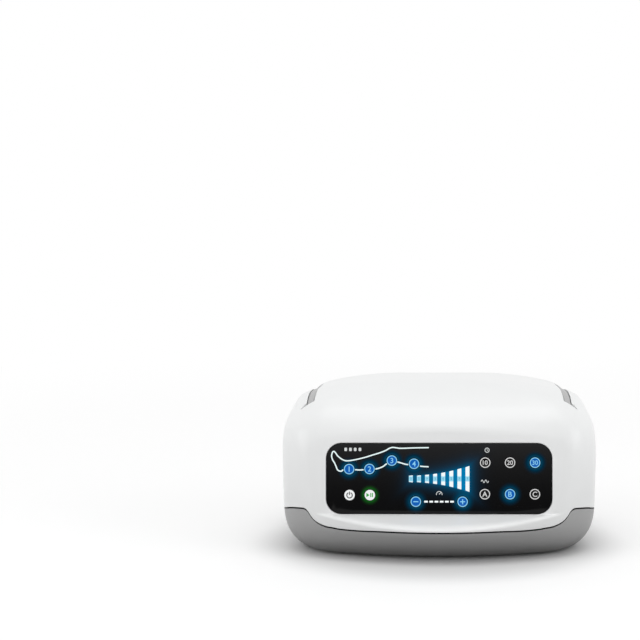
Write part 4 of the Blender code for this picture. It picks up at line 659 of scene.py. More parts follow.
def panel_frame():
    """Frame on the facet at the middle of the panel: x right, y up the panel, z outward."""
    up = Vector((0, math.sin(PANEL_LEAN), math.cos(PANEL_LEAN)))
    out = Vector((0, -math.cos(PANEL_LEAN), math.sin(PANEL_LEAN)))
    centre = Vector((0, PANEL_FOOT_Y, PANEL_FOOT_Z)) + up * PANEL_HEIGHT / 2
    columns = Matrix((Vector((1, 0, 0)), up, out)).transposed().to_4x4()
    return Matrix.Translation(centre) @ columns


def rear_frame(x, z):
    """Frame that looks at the back of the pump: x to the left of the front view, y up, z backward."""
    return Matrix.Translation((x, 0, z)) @ Matrix(((-1, 0, 0), (0, 0, 1), (0, 1, 0))).to_4x4()


def panel_outline(margin):
    return rounded_rectangle(PANEL_WIDTH, PANEL_HEIGHT, PANEL_RADIUS + margin, margin=margin)


def groove_outline(side):
    """Plan outline of a shoulder groove, corners rounded and points close together."""
    half, rear_x = GROOVE_WIDTH / 2, GROOVE_X - GROOVE_TOE_IN
    front, back = GROOVE_ENDS_Y
    corners = ((GROOVE_X - half, front), (GROOVE_X + half + GROOVE_NOTCH, front - GROOVE_NOTCH_FORWARD),
               (GROOVE_X + half, front + GROOVE_NOTCH_BACK), (rear_x + half, back), (rear_x - half, back))
    outline = []
    for corner, after, curve in corner_curves(corners, GROOVE_CORNER, 4):
        gap = np.linalg.norm(after - corner)
        outline += curve
        outline += [curve[-1] + (after - corner) / gap * run for run in np.arange(0.002, gap - 0.003, 0.002)]
    return [(side * x, y) for x, y in outline[::side]]


def moved_out(outline, distance):
    return [tuple(point) for point in np.array(outline) + outward_normals(outline) * distance]


def surface_of(piece):
    """Function that gives the height of a piece's top over a point of the plan."""
    tree = BVHTree.FromObject(piece, bpy.context.evaluated_depsgraph_get())

    def height(x, y):
        hit = tree.ray_cast(Vector((x, y, 2 * BODY_HEIGHT)), Vector((0, 0, -1)))[0]
        return hit.z
    return height


def groove_tool(side, sizes, height):
    """Cutter for a shoulder groove, flared to round the edge that it leaves."""
    outline = moved_out(groove_outline(side), FIT_GAP)
    rings = [raised(outline, GROOVE_FLOOR_Z)]
    for offset, drop in rounding(sizes.groove_rounding):
        ring = moved_out(outline, offset)
        rings.append([(x, y, height(x, y) + drop) for x, y in ring])
    rings.append(raised(moved_out(outline, sizes.groove_rounding), BODY_HEIGHT + OVERRUN))
    return lofted("groove_tool", rings)


def window_tool(sizes):
    """Cutter for the panel's window, flared to round the window's edge."""
    edge = sizes.window_rounding
    rings = [raised(panel_outline(FIT_GAP + offset), z)
             for offset, z in [(0, REBATE_Z), *rounding(edge), (edge, OVERRUN)]]
    return lofted("window_tool", rings, panel_frame())


def column(bm, radius, place, low, high, points=SMALL_ROUND_POINTS):
    add_loft(bm, turned(((radius, low), (radius, high)), place, points))


def core_solid():
    """Solid that reaches to the middle of the case's wall, to trim what stands inside."""
    rings = case_rings(WALL / 2)
    rows = [[tuple(point) for point in rings[level]] for level in range(0, LEVEL_COUNT, 12)]
    rows += crown_rings(rings[-1], BODY_HEIGHT - WALL / 2, (0.8, 0.5, 0.2))
    return lofted("core", rows)


def trimmed(name, bm):
    """Piece that stands inside the case, cut off in the middle of the case's wall."""
    piece = new_piece(name, bm)
    carve(piece, core_solid(), "INTERSECT")
    return piece


def cover_ribs():
    """Frame behind the window and four screw bosses."""
    bm = bmesh.new()
    add_plate(bm, panel_outline(FRAME_WIDTH), FRAME_BACK, 0, panel_frame())
    for place in POST_PLACES.values():
        column(bm, BOSS_RADIUS, place, POST_TOP_Z + FIT_GAP, BODY_HEIGHT)
    return trimmed("cover_ribs", bm)


def cover_inner_tools():
    """Opening behind the window and the bores of the screw bosses."""
    bm = bmesh.new()
    add_plate(bm, panel_outline(-REBATE_WIDTH), FRAME_BACK - OVERRUN, 0, panel_frame())
    for place in POST_PLACES.values():
        column(bm, SCREW_BORE_RADIUS, place, FLOOR_Z, POST_TOP_Z + SCREW_REACH + OVERRUN / 2)
    return new_piece("cover_inner_tools", bm)


def slot_rings(place, start, end):
    """Rings of a cutter for one ventilation slot with round ends, flared at its outer end."""
    rows = ((0, start), (0, end - EDGE_FLARE), (EDGE_FLARE, end), (EDGE_FLARE, end + OVERRUN))
    return [raised(rounded_rectangle(*SLOT_SIZE, SLOT_SIZE[0] / 2 + margin - 1e-5, place, 6, margin), z)
            for margin, z in rows]


def base_ribs():
    """Screw posts and the pads that hold the connectors."""
    bm = bmesh.new()
    for place in POST_PLACES.values():
        column(bm, POST_RADIUS, place, FLOOR_Z, POST_TOP_Z)
    outlets = OUTLET_X.values()
    pads = ((sum(outlets) / 2, max(outlets) - min(outlets) + OUTLET_SIZE[0]), (INLET_X, INLET_SIZE[0]))
    height = REAR_PAD_Z[1] - REAR_PAD_Z[0]
    for x, width in pads:
        add_plate(bm, rounded_rectangle(width + 2 * FLANGE_MARGIN, height, FLANGE_CORNER), REAR_PAD_INNER_Y,
                  BODY_DEPTH / 2, rear_frame(x, sum(REAR_PAD_Z) / 2))
    return trimmed("base_ribs", bm)


def connector_windows():
    """Cutters through the back wall for the air outlets and the mains inlet."""
    bm = bmesh.new()
    for x, size in [(x, OUTLET_SIZE) for x in OUTLET_X.values()] + [(INLET_X, INLET_SIZE)]:
        add_plate(bm, rounded_rectangle(*size, SOCKET_CORNER, points=4, margin=FIT_GAP),
                  REAR_PAD_INNER_Y - OVERRUN, BODY_DEPTH / 2 + OVERRUN, rear_frame(x, REAR_Z))
    return new_piece("connector_windows", bm)


def base_tools():
    """Cutters for the ventilation slots, the foot seats and the screw holes."""
    bm = bmesh.new()
    below = Matrix.Rotation(math.pi, 4, "X")
    for x in spread(SLOT_COUNT, SLOT_PITCH):
        add_loft(bm, slot_rings((x, 0), FAN_BACK_Y, BODY_DEPTH / 2 - 0.0005), rear_frame(*FAN_PLACE))
        intake = (INTAKE_PLACE[0] + x, -INTAKE_PLACE[1])
        add_loft(bm, slot_rings(intake, -FLOOR_Z - WALL - OVERRUN, -FLOOR_Z), below)
    for place in FOOT_PLACES.values():
        column(bm, FOOT_RADIUS + FIT_GAP, place, FLOOR_Z - OVERRUN, FLOOR_Z + FOOT_SEAT, ROUND_POINTS)
    wide, seat = COUNTERBORE_RADIUS + EDGE_FLARE, FLOOR_Z + COUNTERBORE_DEPTH
    hole = ((wide, FLOOR_Z - OVERRUN), (wide, FLOOR_Z), (COUNTERBORE_RADIUS, FLOOR_Z + EDGE_FLARE),
            (COUNTERBORE_RADIUS, seat), (SCREW_BORE_RADIUS, seat), (SCREW_BORE_RADIUS, POST_TOP_Z + OVERRUN))
    for place in POST_PLACES.values():
        add_loft(bm, turned(hole, place))
    return new_piece("base_tools", bm)


def groove_strip(name, side, sizes, height):
    """Strip let into a groove; its top follows the cover's surface and its long edges are rounded."""
    half, edge = GROOVE_WIDTH / 2 - STRIP_CLEARANCE, sizes.strip_rounding
    left = [(offset - half, drop) for offset, drop in rounding(edge)]
    right = [(-x, drop) for x, drop in reversed(left)]
    across = left + [(x, 0) for x in np.linspace(edge - half, half - edge, 5)[1:-1]] + right
    (front, back), low = GROOVE_ENDS_Y, GROOVE_FLOOR_Z + FIT_GAP
    rings = []
    for share in np.linspace(0, 1, STRIP_ROWS):
        middle, y = side * (GROOVE_X - GROOVE_TOE_IN * share), front + (back - front) * share
        top = [(middle + x, y, height(middle + x, y) - STRIP_DROP + drop) for x, drop in across]
        rings.append([(middle - half, y, low)] + top + [(middle + half, y, low)])
    return lofted(name, rings)


# Panel


def bar_outlines(margin):
    """The pressure bars in the panel's plane; they grow to the right and slant at both ends."""
    outlines = []
    for index, share in enumerate(BAR_HEIGHT_SHARES):
        x, half = BAR_FIRST_X + index * BAR_PITCH, BAR_WIDTH / 2 + margin
        left, right = (BAR_TALLEST / 2 * share * (1 + slant) - BAR_END_INSET + margin
                       for slant in (-BAR_SLANT_SHARE, BAR_SLANT_SHARE))
        outlines.append([(x - half, BAR_CENTRE_Y - left), (x + half, BAR_CENTRE_Y - right),
                         (x + half, BAR_CENTRE_Y + right), (x - half, BAR_CENTRE_Y + left)])
    return outlines


def dash_outlines(margin):
    """The level dashes between the minus and plus keys."""
    width, height = (size / 2 + margin for size in DASH_SIZE)
    y = KEY_PLACES["key_pressure_minus"][1]
    return [box_outline(width, height, (x, y)) for x in spread(DASH_COUNT, DASH_PITCH)]


def guide_outline(margin):
    """Outline round all the bars, with a neck down round the dashes."""
    bars, dashes = bar_outlines(margin), dash_outlines(margin)
    low_left, low_right = bars[0][0], bars[-1][1]
    slope = (low_right[1] - low_left[1]) / (low_right[0] - low_left[0])
    neck = [(x, low_left[1] + (x - low_left[0]) * slope) for x in (dashes[0][0][0], dashes[-1][1][0])]
    return [low_left, neck[0], dashes[0][0], dashes[-1][1], neck[1], low_right, bars[-1][2], bars[0][3]]


def softened(outline):
    """Outline of a bar or dash with its corners rounded."""
    return [tuple(point) for _, _, curve in corner_curves(outline, BAR_CORNER, 3) for point in curve]


def make_panel(sizes):
    """Black window plate in its own frame, with its key holes and light slots."""
    rows = [(0, PANEL_BACK)] + [(offset, PANEL_FRONT + z) for offset, z in rounding(sizes.panel_rounding)]
    panel = lofted("panel_window", [raised(panel_outline(-offset), z) for offset, z in rows])
    bm = bmesh.new()
    low = PANEL_BACK - OVERRUN
    for place in KEY_PLACES.values():
        column(bm, KEY_RADIUS + FIT_GAP, place, low, OVERRUN, ROUND_POINTS)
    for outline in bar_outlines(FIT_GAP) + dash_outlines(FIT_GAP):
        add_plate(bm, softened(outline), low, OVERRUN)
    carve(panel, new_piece("panel_tools", bm))
    panel.matrix_world = panel_frame()
    return panel


def smooth_path(points):
    """Smooth curve through points."""
    points = [np.array(point, float) for point in points]
    path = [points[0]]
    ends = [2 * points[0] - points[1]] + points + [2 * points[-1] - points[-2]]
    for a, b, c, d in zip(ends, ends[1:], ends[2:], ends[3:]):
        for step in range(1, PATH_STEPS + 1):
            t = step / PATH_STEPS
            path.append((2 * b + (c - a) * t + (2 * a - 5 * b + 4 * c - d) * t ** 2
                         + (3 * b - a - 3 * c + d) * t ** 3) / 2)
    return path


def add_ribbon(bm, path, width, low, high, closed=False):
    """Add a flat line along a path, with round ends, between two heights."""
    path = [np.array(point, float) for point in path]
    if closed:
        along = [path[(i + 1) % len(path)] - path[i - 1] for i in range(len(path))]
    else:
        along = [path[min(i + 1, len(path) - 1)] - path[max(i - 1, 0)] for i in range(len(path))]
    stations = [(point, direction / np.linalg.norm(direction), 1) for point, direction in zip(path, along)]
    if not closed:
        turns = np.radians((80, 60, 40, 20))
        (first, first_way, _), (last, last_way, _) = stations[0], stations[-1]
        head = [(first - first_way * width / 2 * math.sin(a), first_way, math.cos(a)) for a in turns]
        tail = [(last + last_way * width / 2 * math.sin(a), last_way, math.cos(a)) for a in reversed(turns)]
        stations = head + stations + tail
    rings = []
    for point, way, share in stations:
        side = np.array((-way[1], way[0])) * width / 2 * share
        left, right = point + side, point - side
        rings.append([(*left, low), (*right, low), (*right, high), (*left, high)])
    add_loft(bm, rings, closed=closed)


def text_mesh(text, size, bold, thickness):
    curve = bpy.data.curves.new("figure", "FONT")
    curve.body = text
    curve.size = size
    curve.offset = bold * size
    curve.extrude = thickness / 2
    curve.resolution_u = 6
    writer = bpy.data.objects.new("figure", curve)
    mesh = bpy.data.meshes.new_from_object(writer)
    bpy.data.objects.remove(writer)
    bpy.data.curves.remove(curve)
    return mesh


def add_text(bm, text, height, centre, low, high, bold=0.012, turn=0.0):
    """Add figures of this height, centred on a place and turned by an angle."""
    trial = text_mesh(text, 1, bold, 0)
    ys = [vert.co.y for vert in trial.vertices]
    bpy.data.meshes.remove(trial)
    mesh = text_mesh(text, height / (max(ys) - min(ys)), bold, high - low)
    corners = np.array([vert.co for vert in mesh.vertices])
    middle = (corners.max(axis=0) + corners.min(axis=0)) / 2
    mesh.transform(Matrix.Translation((*centre, (low + high) / 2)) @ Matrix.Rotation(turn, 4, "Z")
                   @ Matrix.Translation(-Vector(middle)))
    bm.from_mesh(mesh)
    bpy.data.meshes.remove(mesh)


def placed(name, bm, place):
    """Piece from a bmesh drawn in a frame of its own, such as the panel's."""
    piece = new_piece(name, bm)
    piece.matrix_world = place
    return piece


def key_frame(name):
    """Frame on a key's own axis."""
    return panel_frame() @ Matrix.Translation((*KEY_PLACES[name], 0))


def key_cap(name, sizes):
    """Key with a rounded edge, a flange behind the panel and a stem."""
    flange_back = REBATE_Z - KEY_FLANGE_THICKNESS
    profile = [(KEY_RADIUS - offset, z) for offset, z in reversed(rounding(sizes.key_rounding))]
    profile += [(KEY_RADIUS, REBATE_Z), (KEY_FLANGE_RADIUS, REBATE_Z), (KEY_FLANGE_RADIUS, flange_back),
                (KEY_STEM_RADIUS, flange_back), (KEY_STEM_RADIUS, KEY_STEM_END)]
    cap = lofted(name + "_cap", turned(profile, points=ROUND_POINTS))
    cap.matrix_world = key_frame(name)
    return cap


def key_print(name, sizes):
    """Ring and figure or sign printed on a key."""
    bm = bmesh.new()
    low, high = 0, sizes.print_thickness
    if name not in ("key_power", "key_play_pause"):
        ring = circle(KEY_CLEAR_RADIUS - sizes.key_ring_width / 2)
        add_ribbon(bm, ring, sizes.key_ring_width, low, high, closed=True)
    if name.startswith(("key_position", "key_time", "key_mode")):
        text = name.split("_")[-1].upper()
        height = sizes.figure_height * (TWO_FIGURES_SHARE if len(text) > 1 else 1)
        add_text(bm, text, height, (0, 0), low, high)
    arm, half = SIGN_ARM
    if name == "key_pressure_minus":
        add_plate(bm, box_outline(arm, half), low, high)
    if name == "key_pressure_plus":
        add_plate(bm, plus_outline(arm, half), low, high)
    if name == "key_power":
        add_ribbon(bm, arc((0, -0.0002), 0.0024, 125, 415, 36), 2 * half, low, high)
        add_ribbon(bm, [(0, 0.0004), (0, 0.0026)], 2 * half, low, high)
    if name == "key_play_pause":
        add_plate(bm, [(-0.0031, -0.0019), (-0.0003, 0), (-0.0031, 0.0019)], low, high)
        for x in (0.0008, 0.0023):
            add_plate(bm, box_outline(half, 0.0018, (x, 0)), low, high)
    return placed(name + "_print", bm, key_frame(name))


# Plain leg line round the numbered keys: its upper run from the toe to the knee and beyond, and the
# stretches below it between the keys
LEG_UPPER = ((-0.0946, 0.0222), (-0.0940, 0.0236), (-0.0928, 0.0240), (-0.0914, 0.0226), (-0.0898, 0.0203),
             (-0.0872, 0.0180), (-0.0845, 0.0164), (-0.0812, 0.0157), (-0.0750, 0.0165), (-0.0660, 0.0186),
             (-0.0592, 0.0207), (-0.0530, 0.0226), (-0.0475, 0.0247), (-0.0438, 0.0268), (-0.0408, 0.0276),
             (-0.0370, 0.0271), (-0.0333, 0.0268), (-0.0210, 0.0272), (-0.0094, 0.0274))
LEG_LOWER = (((-0.0946, 0.0222), (-0.0950, 0.0200), (-0.0942, 0.0168), (-0.0923, 0.0136), (-0.0910, 0.0106),
              (-0.0899, 0.0080), (-0.0882, 0.0067), (-0.0863, 0.0066), (-0.0850, 0.0076)),
             ((-0.0738, 0.0078), (-0.0700, 0.0076), (-0.0671, 0.0078)),
             ((-0.0558, 0.0085), (-0.0530, 0.0092), (-0.0495, 0.0107), (-0.0465, 0.0130)),
             ((-0.0365, 0.0147), (-0.0330, 0.0137), (-0.0300, 0.0128), (-0.0277, 0.0124)),
             ((-0.0164, 0.0110), (-0.0135, 0.0107), (-0.0096, 0.0105)))


def leg_line(sizes):
    bm = bmesh.new()
    for run in (LEG_LOWER[0][:0:-1] + LEG_UPPER, *LEG_LOWER[1:]):
        add_ribbon(bm, smooth_path(run), sizes.line_width, PANEL_FRONT, PANEL_FRONT + sizes.print_thickness)
    return placed("leg_line", bm, panel_frame())


def panel_signs(sizes):
    """Plain signs over the groups of keys: cuffs, a clock, a wave and a gauge."""
    bm = bmesh.new()
    low, high, line = PANEL_FRONT, PANEL_FRONT + sizes.print_thickness, sizes.sign_line_width
    x, y = CUFF_SIGN
    for shift in spread(4, 0.0042):
        add_plate(bm, rounded_rectangle(0.0024, 0.0030, 0.0007, (x + shift, y), points=4), low, high)
    x, y = CLOCK_SIGN
    add_ribbon(bm, circle(0.0019, (x, y), 32), line, low, high, closed=True)
    add_ribbon(bm, [(x, y + 0.0011), (x, y), (x + 0.0008, y - 0.0005)], line * 0.8, low, high)
    x, y = WAVE_SIGN
    wave = [(x + t * 0.0032, y + 0.0012 * math.sin(t * 2 * math.pi)) for t in np.linspace(-1, 1, 33)]
    add_ribbon(bm, wave, line, low, high)
    x, y = GAUGE_SIGN
    add_ribbon(bm, arc((x, y), 0.0025, -10, 190, 24), line, low, high)
    add_ribbon(bm, [(x, y), (x + 0.0012, y + 0.0013)], line, low, high)
    return placed("panel_signs", bm, panel_frame())


def light_bars():
    """Clear light guide: its plate behind the panel, the bars and the dashes."""
    bm = bmesh.new()
    add_plate(bm, guide_outline(GUIDE_MARGIN), FRAME_BACK, REBATE_Z)
    for outline in bar_outlines(0) + dash_outlines(0):
        soft = softened(outline)
        rings = [raised(soft, z - GUIDE_EDGE) for z in (REBATE_Z, PANEL_FRONT)]
        add_loft(bm, rings + [raised(moved_out(soft, -GUIDE_EDGE), PANEL_FRONT)])
    return placed("light_bars", bm, panel_frame())


def bar_figures(sizes):
    """Small plain figures up the middles of the bars."""
    bm = bmesh.new()
    low, high = PANEL_FRONT, PANEL_FRONT + sizes.print_thickness
    for index in range(len(BAR_HEIGHT_SHARES)):
        centre = (BAR_FIRST_X + index * BAR_PITCH, BAR_CENTRE_Y)
        add_text(bm, str(100 + 20 * index), 0.0014, centre, low, high, 0.0, math.pi / 2)
    return placed("bar_figures", bm, panel_frame())


# Underside and back


def foot_pad(name, place):
    """Rubber foot with a rounded rim and a shallow hollow underneath."""
    profile = [(0.0042, 0.0005), (0.0048, 0)]
    profile += [(FOOT_RADIUS - FOOT_RIM + FOOT_RIM * math.sin(a), FOOT_RIM - FOOT_RIM * math.cos(a))
                for a in np.radians(np.linspace(0, 90, 6))]
    profile.append((FOOT_RADIUS, FLOOR_Z + FOOT_SEAT - FIT_GAP))
    return lofted(name, turned(profile, place, ROUND_POINTS))


def case_screw(name, place):
    """Pan-head screw with a cross recess."""
    seat = FLOOR_Z + COUNTERBORE_DEPTH - FIT_GAP
    low = seat - SCREW_HEAD_HEIGHT
    profile = ((0.0019, low), (0.0027, low + 0.0003), (SCREW_HEAD_RADIUS, low + 0.0010),
               (SCREW_HEAD_RADIUS, seat), (SCREW_SHANK_RADIUS, seat),
               (SCREW_SHANK_RADIUS, POST_TOP_Z + SCREW_REACH))
    screw = lofted(name, turned(profile, place))
    cross = plus_outline(*CROSS_ARM, place)
    carve(screw, lofted("cross_tool", [raised(cross, z) for z in (low - OVERRUN, low + CROSS_DEPTH)]))
    return screw


def socket_body(name, x, size, cavity, back_y, bores):
    """Connector with a rounded face, a flange behind the wall, a cavity with a soft lip and its bores."""
    place, face = rear_frame(x, REAR_Z), CONNECTOR_FACE_Y
    rows = [(0, back_y)] + [(-offset, face + z) for offset, z in rounding(SOCKET_ROUNDING)]
    body = lofted(name, [raised(rounded_rectangle(*size, SOCKET_CORNER, points=4, margin=margin), y)
                         for margin, y in rows], place)
    flange = rounded_rectangle(*size, FLANGE_CORNER, points=4, margin=FLANGE_MARGIN)
    carve(body, lofted("flange_tool", [raised(flange, y) for y in FLANGE_Y], place), "UNION")
    *hollow, radius, depth = cavity
    floor = face - depth
    rows = [(0, floor)] + [(offset, face + z) for offset, z in rounding(CAVITY_LIP)]
    rows.append((CAVITY_LIP, face + OVERRUN))
    rings = [raised(rounded_rectangle(*hollow, radius + margin, margin=margin), y) for margin, y in rows]
    carve(body, lofted("cavity_tool", rings, place))
    bm = bmesh.new()
    for bore_x, narrow in bores:
        wide = narrow + 0.0006
        profile = ((narrow, back_y - OVERRUN), (narrow, floor - 0.0004), (wide, floor + 0.0002),
                   (wide, floor + 0.001))
        add_loft(bm, turned(profile, (bore_x, 0)), place)
    carve(body, new_piece("bore_tool", bm))
    return body


def mains_pin(name, x):
    """Pin with a domed tip."""
    shoulder = CONNECTOR_FACE_Y - PIN_SHORT - PIN_RADIUS
    profile = [(PIN_RADIUS, INLET_BACK_Y - OVERRUN), (PIN_RADIUS, shoulder)]
    profile += [(PIN_RADIUS * math.cos(a), shoulder + PIN_RADIUS * math.sin(a))
                for a in np.radians((20, 40, 60, 80))]
    return lofted(name, turned(profile, (x, 0)), rear_frame(INLET_X, REAR_Z))


# Finishes


def add_node(tree, kind, inputs=(), **settings):
    """Add one shader node: settings are its own options, inputs are values or the sockets linked to it."""
    node = tree.nodes.new("ShaderNode" + kind)
    for name, value in settings.items():
        setattr(node, name, value)
    for key, value in dict(inputs).items():
        if isinstance(value, bpy.types.NodeSocket):
            tree.links.new(value, node.inputs[key])
        else:
            node.inputs[key].default_value = value
    return node


def new_finish(name, **sockets):
    """Material with one Principled shader; socket names are given with underscores."""
    material = bpy.data.materials.new(name)
    material.use_nodes = True
    tree = material.node_tree
    shader = tree.nodes["Principled BSDF"]
    for key, value in sockets.items():
        shader.inputs[key.replace("_", " ")].default_value = value
    return material, tree, shader


def wire(tree, shader, **outputs):
    """Link outputs to a shader's inputs; socket names are given with underscores."""
    for key, output in outputs.items():
        tree.links.new(output, shader.inputs[key.replace("_", " ")])


def math_chain(tree, start, *steps):
    """Pass a value through arithmetic steps, each an operation and its second value."""
    value = start
    for operation, other in steps:
        inputs = {0: value} if other is None else {0: value, 1: other}
        value = add_node(tree, "Math", inputs, operation=operation).outputs[0]
    return value


def mapped(tree, value, start, end, low=0.0, high=1.0, kind="LINEAR"):
    """Value moved from one range to another and held at its ends."""
    return add_node(tree, "MapRange", {"Value": value, "From Min": start, "From Max": end, "To Min": low,
                                       "To Max": high}, interpolation_type=kind).outputs[0]


def mixed_colour(tree, share, first, second):
    return add_node(tree, "Mix", {0: share, 6: first, 7: second}, data_type="RGBA").outputs[2]


def mixed_value(tree, share, first, second):
    return add_node(tree, "Mix", {0: share, 2: first, 3: second}, data_type="FLOAT").outputs[0]


def scaled(tree, colour, amount):
    return add_node(tree, "VectorMath", {0: colour, 3: amount}, operation="SCALE").outputs[0]


def length_of(tree, vector):
    return add_node(tree, "VectorMath", {0: vector}, operation="LENGTH").outputs[1]


def object_place(tree):
    return add_node(tree, "TexCoord").outputs["Object"]


def flat_place(tree, place):
    """A place's x and y, and the flat vector of both."""
    axes = add_node(tree, "SeparateXYZ", {0: place})
    across, up = axes.outputs[0], axes.outputs[1]
    return across, up, add_node(tree, "CombineXYZ", {0: across, 1: up}).outputs[0]


def shaded(colour, share):
    """Opaque colour with its channels times a share."""
    return [min(1, channel * share) for channel in colour[:3]] + [1]


def noise_at(tree, place, scale, detail=2.0):
    return add_node(tree, "TexNoise", {"Vector": place, "Scale": scale, "Detail": detail}).outputs[0]


def add_bump(tree, shader, height, depth, strength=1.0, invert=False):
    bump = add_node(tree, "Bump", {"Height": height, "Distance": depth, "Strength": strength}, invert=invert)
    wire(tree, shader, Normal=bump.outputs[0])


def grain(tree, shader, size, depth):
    """Fine bump of a moulded or ground surface; size and depth in metres."""
    place = object_place(tree)
    add_bump(tree, shader, noise_at(tree, place, 1 / size), depth)
    return place


def clouded(tree, shader, place, colour, size, shift, roughness, roughness_shift):
    """Slow drift of colour and roughness, as between flow fronts and handled places."""
    noise = noise_at(tree, place, 1 / size, 1.0)
    tint = mixed_colour(tree, mapped(tree, noise, 0.1, 0.9), shaded(colour, 1 - shift),
                        shaded(colour, 1 + shift))
    rough = mapped(tree, noise, 0.1, 0.9, roughness - roughness_shift, roughness + roughness_shift)
    wire(tree, shader, Base_Color=tint, Roughness=rough)


def moulded(name, colour, roughness, grain_size, grain_depth, ior=1.54):
    """Injection-moulded plastic: spark-eroded grain from the mould, and a slow drift of gloss."""
    material, tree, shader = new_finish(name, IOR=ior)
    place = grain(tree, shader, grain_size, grain_depth)
    clouded(tree, shader, place, colour, 0.045, 0.012, roughness, 0.03)
    return material


def turned_metal(name, colour, roughness, line):
    """Turned or drawn metal: fine lines across one axis; the line spacing is in metres."""
    material, tree, shader = new_finish(name, Metallic=1.0)
    place = object_place(tree)
    scale = (1 / line, 1 / line, 0.05 / line)
    stretched = add_node(tree, "Mapping", {"Vector": place, "Scale": scale}).outputs[0]
    add_bump(tree, shader, noise_at(tree, stretched, 1.0), 2e-6)
    clouded(tree, shader, place, colour, 0.01, 0.06, roughness, 0.06)
    return material


def lit_plastic(name, colour, light, middle=None, clear=None):
    """Translucent plastic lit from behind: a little less light at the grain of the diffuser, which is about
    a millimetre. A middle colour tints what lies along the bars' own centre line. Beyond the clear radius
    round its own axis it is painted black."""
    material, tree, shader = new_finish(name, Base_Color=colour, Roughness=0.18, IOR=1.585,
                                        Specular_IOR_Level=0.3, Emission_Strength=1.0)
    place = grain(tree, shader, 0.0003, 2e-6)
    _, up, flat = flat_place(tree, place)
    dimmed = mapped(tree, noise_at(tree, place, 900.0), 0.0, 1.0, 0.93, 1.0)
    light = light[:3]
    if middle:
        away = math_chain(tree, up, ("SUBTRACT", BAR_CENTRE_Y), ("ABSOLUTE", None))
        outer = mapped(tree, away, *BAR_MIDDLE_REACH, kind="SMOOTHSTEP")
        light = mixed_colour(tree, outer, middle, (*light, 1))
    if clear:
        within = math_chain(tree, length_of(tree, flat), ("LESS_THAN", clear))
        dimmed = math_chain(tree, dimmed, ("MULTIPLY", within))
        wire(tree, shader, Base_Color=mixed_colour(tree, within, linear(KEY_BLACK), colour))
    wire(tree, shader, Emission_Color=scaled(tree, light, dimmed))
    return material


def ink(name, colour, light=0.0):
    """Screen-printed ink: matt, with the fine mesh of the screen just showing as a grain. This share of its
    colour comes from light behind it, and the rest from the light that falls on it."""
    material, tree, shader = new_finish(name, IOR=1.5, Emission_Color=colour, Emission_Strength=light)
    place = grain(tree, shader, 0.00015, 3e-6)
    clouded(tree, shader, place, shaded(colour, 1 - light), 0.003, 0.03, 0.45, 0.04)
    return material


def smoked_panel(name, sizes, colours):
    """Smoked acrylic, gloss, with a painted reflection that keeps its black lighter at the top and darker
    towards its foot; the light of the keys and bars spreads in it.
    """
    material, tree, shader = new_finish(name, Roughness=0.06, IOR=1.49, Emission_Strength=1.0,
                                        Specular_IOR_Level=0.15)
    place = object_place(tree)
    add_bump(tree, shader, noise_at(tree, place, 180.0, 1.0), 4e-6)
    across, up, flat = flat_place(tree, place)
    # Painted reflection: the black is lighter at the top of the panel and darker towards its foot
    height = mapped(tree, up, -PANEL_HEIGHT / 2, PANEL_HEIGHT / 2)
    black = mixed_colour(tree, math_chain(tree, height, ("POWER", 2.0)),
                         shaded(colours.panel, PANEL_PAINTED_REFLECTION_FOOT_SHARE), colours.panel)
    blue = key_halos(tree, flat, LIT_KEYS, sizes.glow_reach)
    green = key_halos(tree, flat, ("key_play_pause",), sizes.glow_reach * 0.7)
    bars = bar_halo(tree, across, up)
    # The smoke looks clear where light comes up through it
    lit = math_chain(tree, bars, ("MAXIMUM", blue), ("MULTIPLY", -3.0), ("ADD", 1.0), ("MAXIMUM", 0.0))
    light = scaled(tree, KEY_GLOW, blue)
    for colour, amount in ((START_GLOW, green), (BAR_GLOW, bars)):
        part = scaled(tree, colour, amount)
        light = add_node(tree, "VectorMath", {0: light, 1: part}, operation="ADD").outputs[0]
    wire(tree, shader, Base_Color=scaled(tree, black, lit), Emission_Color=light)
    return material


def key_halos(tree, flat, names, reach):
    """Light round the named keys: full at a key's edge, gone at the reach."""
    total = None
    for name in names:
        centre = (*KEY_PLACES[name], 0)
        away = add_node(tree, "VectorMath", {0: flat, 1: centre}, operation="DISTANCE").outputs[1]
        fall = mapped(tree, away, KEY_RADIUS, KEY_RADIUS + reach, 1.0, 0.0)
        halo = math_chain(tree, fall, ("POWER", 2.0))
        total = halo if total is None else math_chain(tree, total, ("MAXIMUM", halo))
    return total


def bar_halo(tree, across, up):
    """Light between and round the bars: brighter to the right, and fading over 4 mm round the outermost."""
    first, last = BAR_FIRST_X, BAR_FIRST_X + (len(BAR_HEIGHT_SHARES) - 1) * BAR_PITCH
    along = mapped(tree, across, first, last)
    low, high = BAR_TALLEST / 2 * BAR_HEIGHT_SHARES[0], BAR_TALLEST / 2
    half_height = math_chain(tree, along, ("POWER", 2.0), ("MULTIPLY", high - low), ("ADD", low))
    away = math_chain(tree, up, ("SUBTRACT", BAR_CENTRE_Y), ("ABSOLUTE", None), ("SUBTRACT", half_height))
    for sign, edge in ((-1, first - BAR_WIDTH / 2), (1, last + BAR_WIDTH / 2)):
        beyond = math_chain(tree, across, ("SUBTRACT", edge), ("MULTIPLY", sign))
        away = math_chain(tree, away, ("MAXIMUM", beyond))
    outside = math_chain(tree, away, ("MAXIMUM", 0.0), ("DIVIDE", -HALO_FADE), ("EXPONENT", None),
                         ("MULTIPLY", HALO_OUTSIDE))
    inside = mapped(tree, away, *HALO_EDGE, kind="SMOOTHSTEP")
    light = mixed_value(tree, inside, outside, 1.0)
    gain = math_chain(tree, along, ("MULTIPLY", 1 - HALO_SHORTEST), ("ADD", HALO_SHORTEST))
    return math_chain(tree, light, ("MULTIPLY", gain))


def rubber(name, colour):
    """Moulded rubber: matt, with a soft dusty bloom."""
    material, tree, shader = new_finish(name, IOR=1.52)
    place = grain(tree, shader, 0.0004, 2e-5)
    clouded(tree, shader, place, colour, 0.004, 0.15, 0.75, 0.08)
    return material


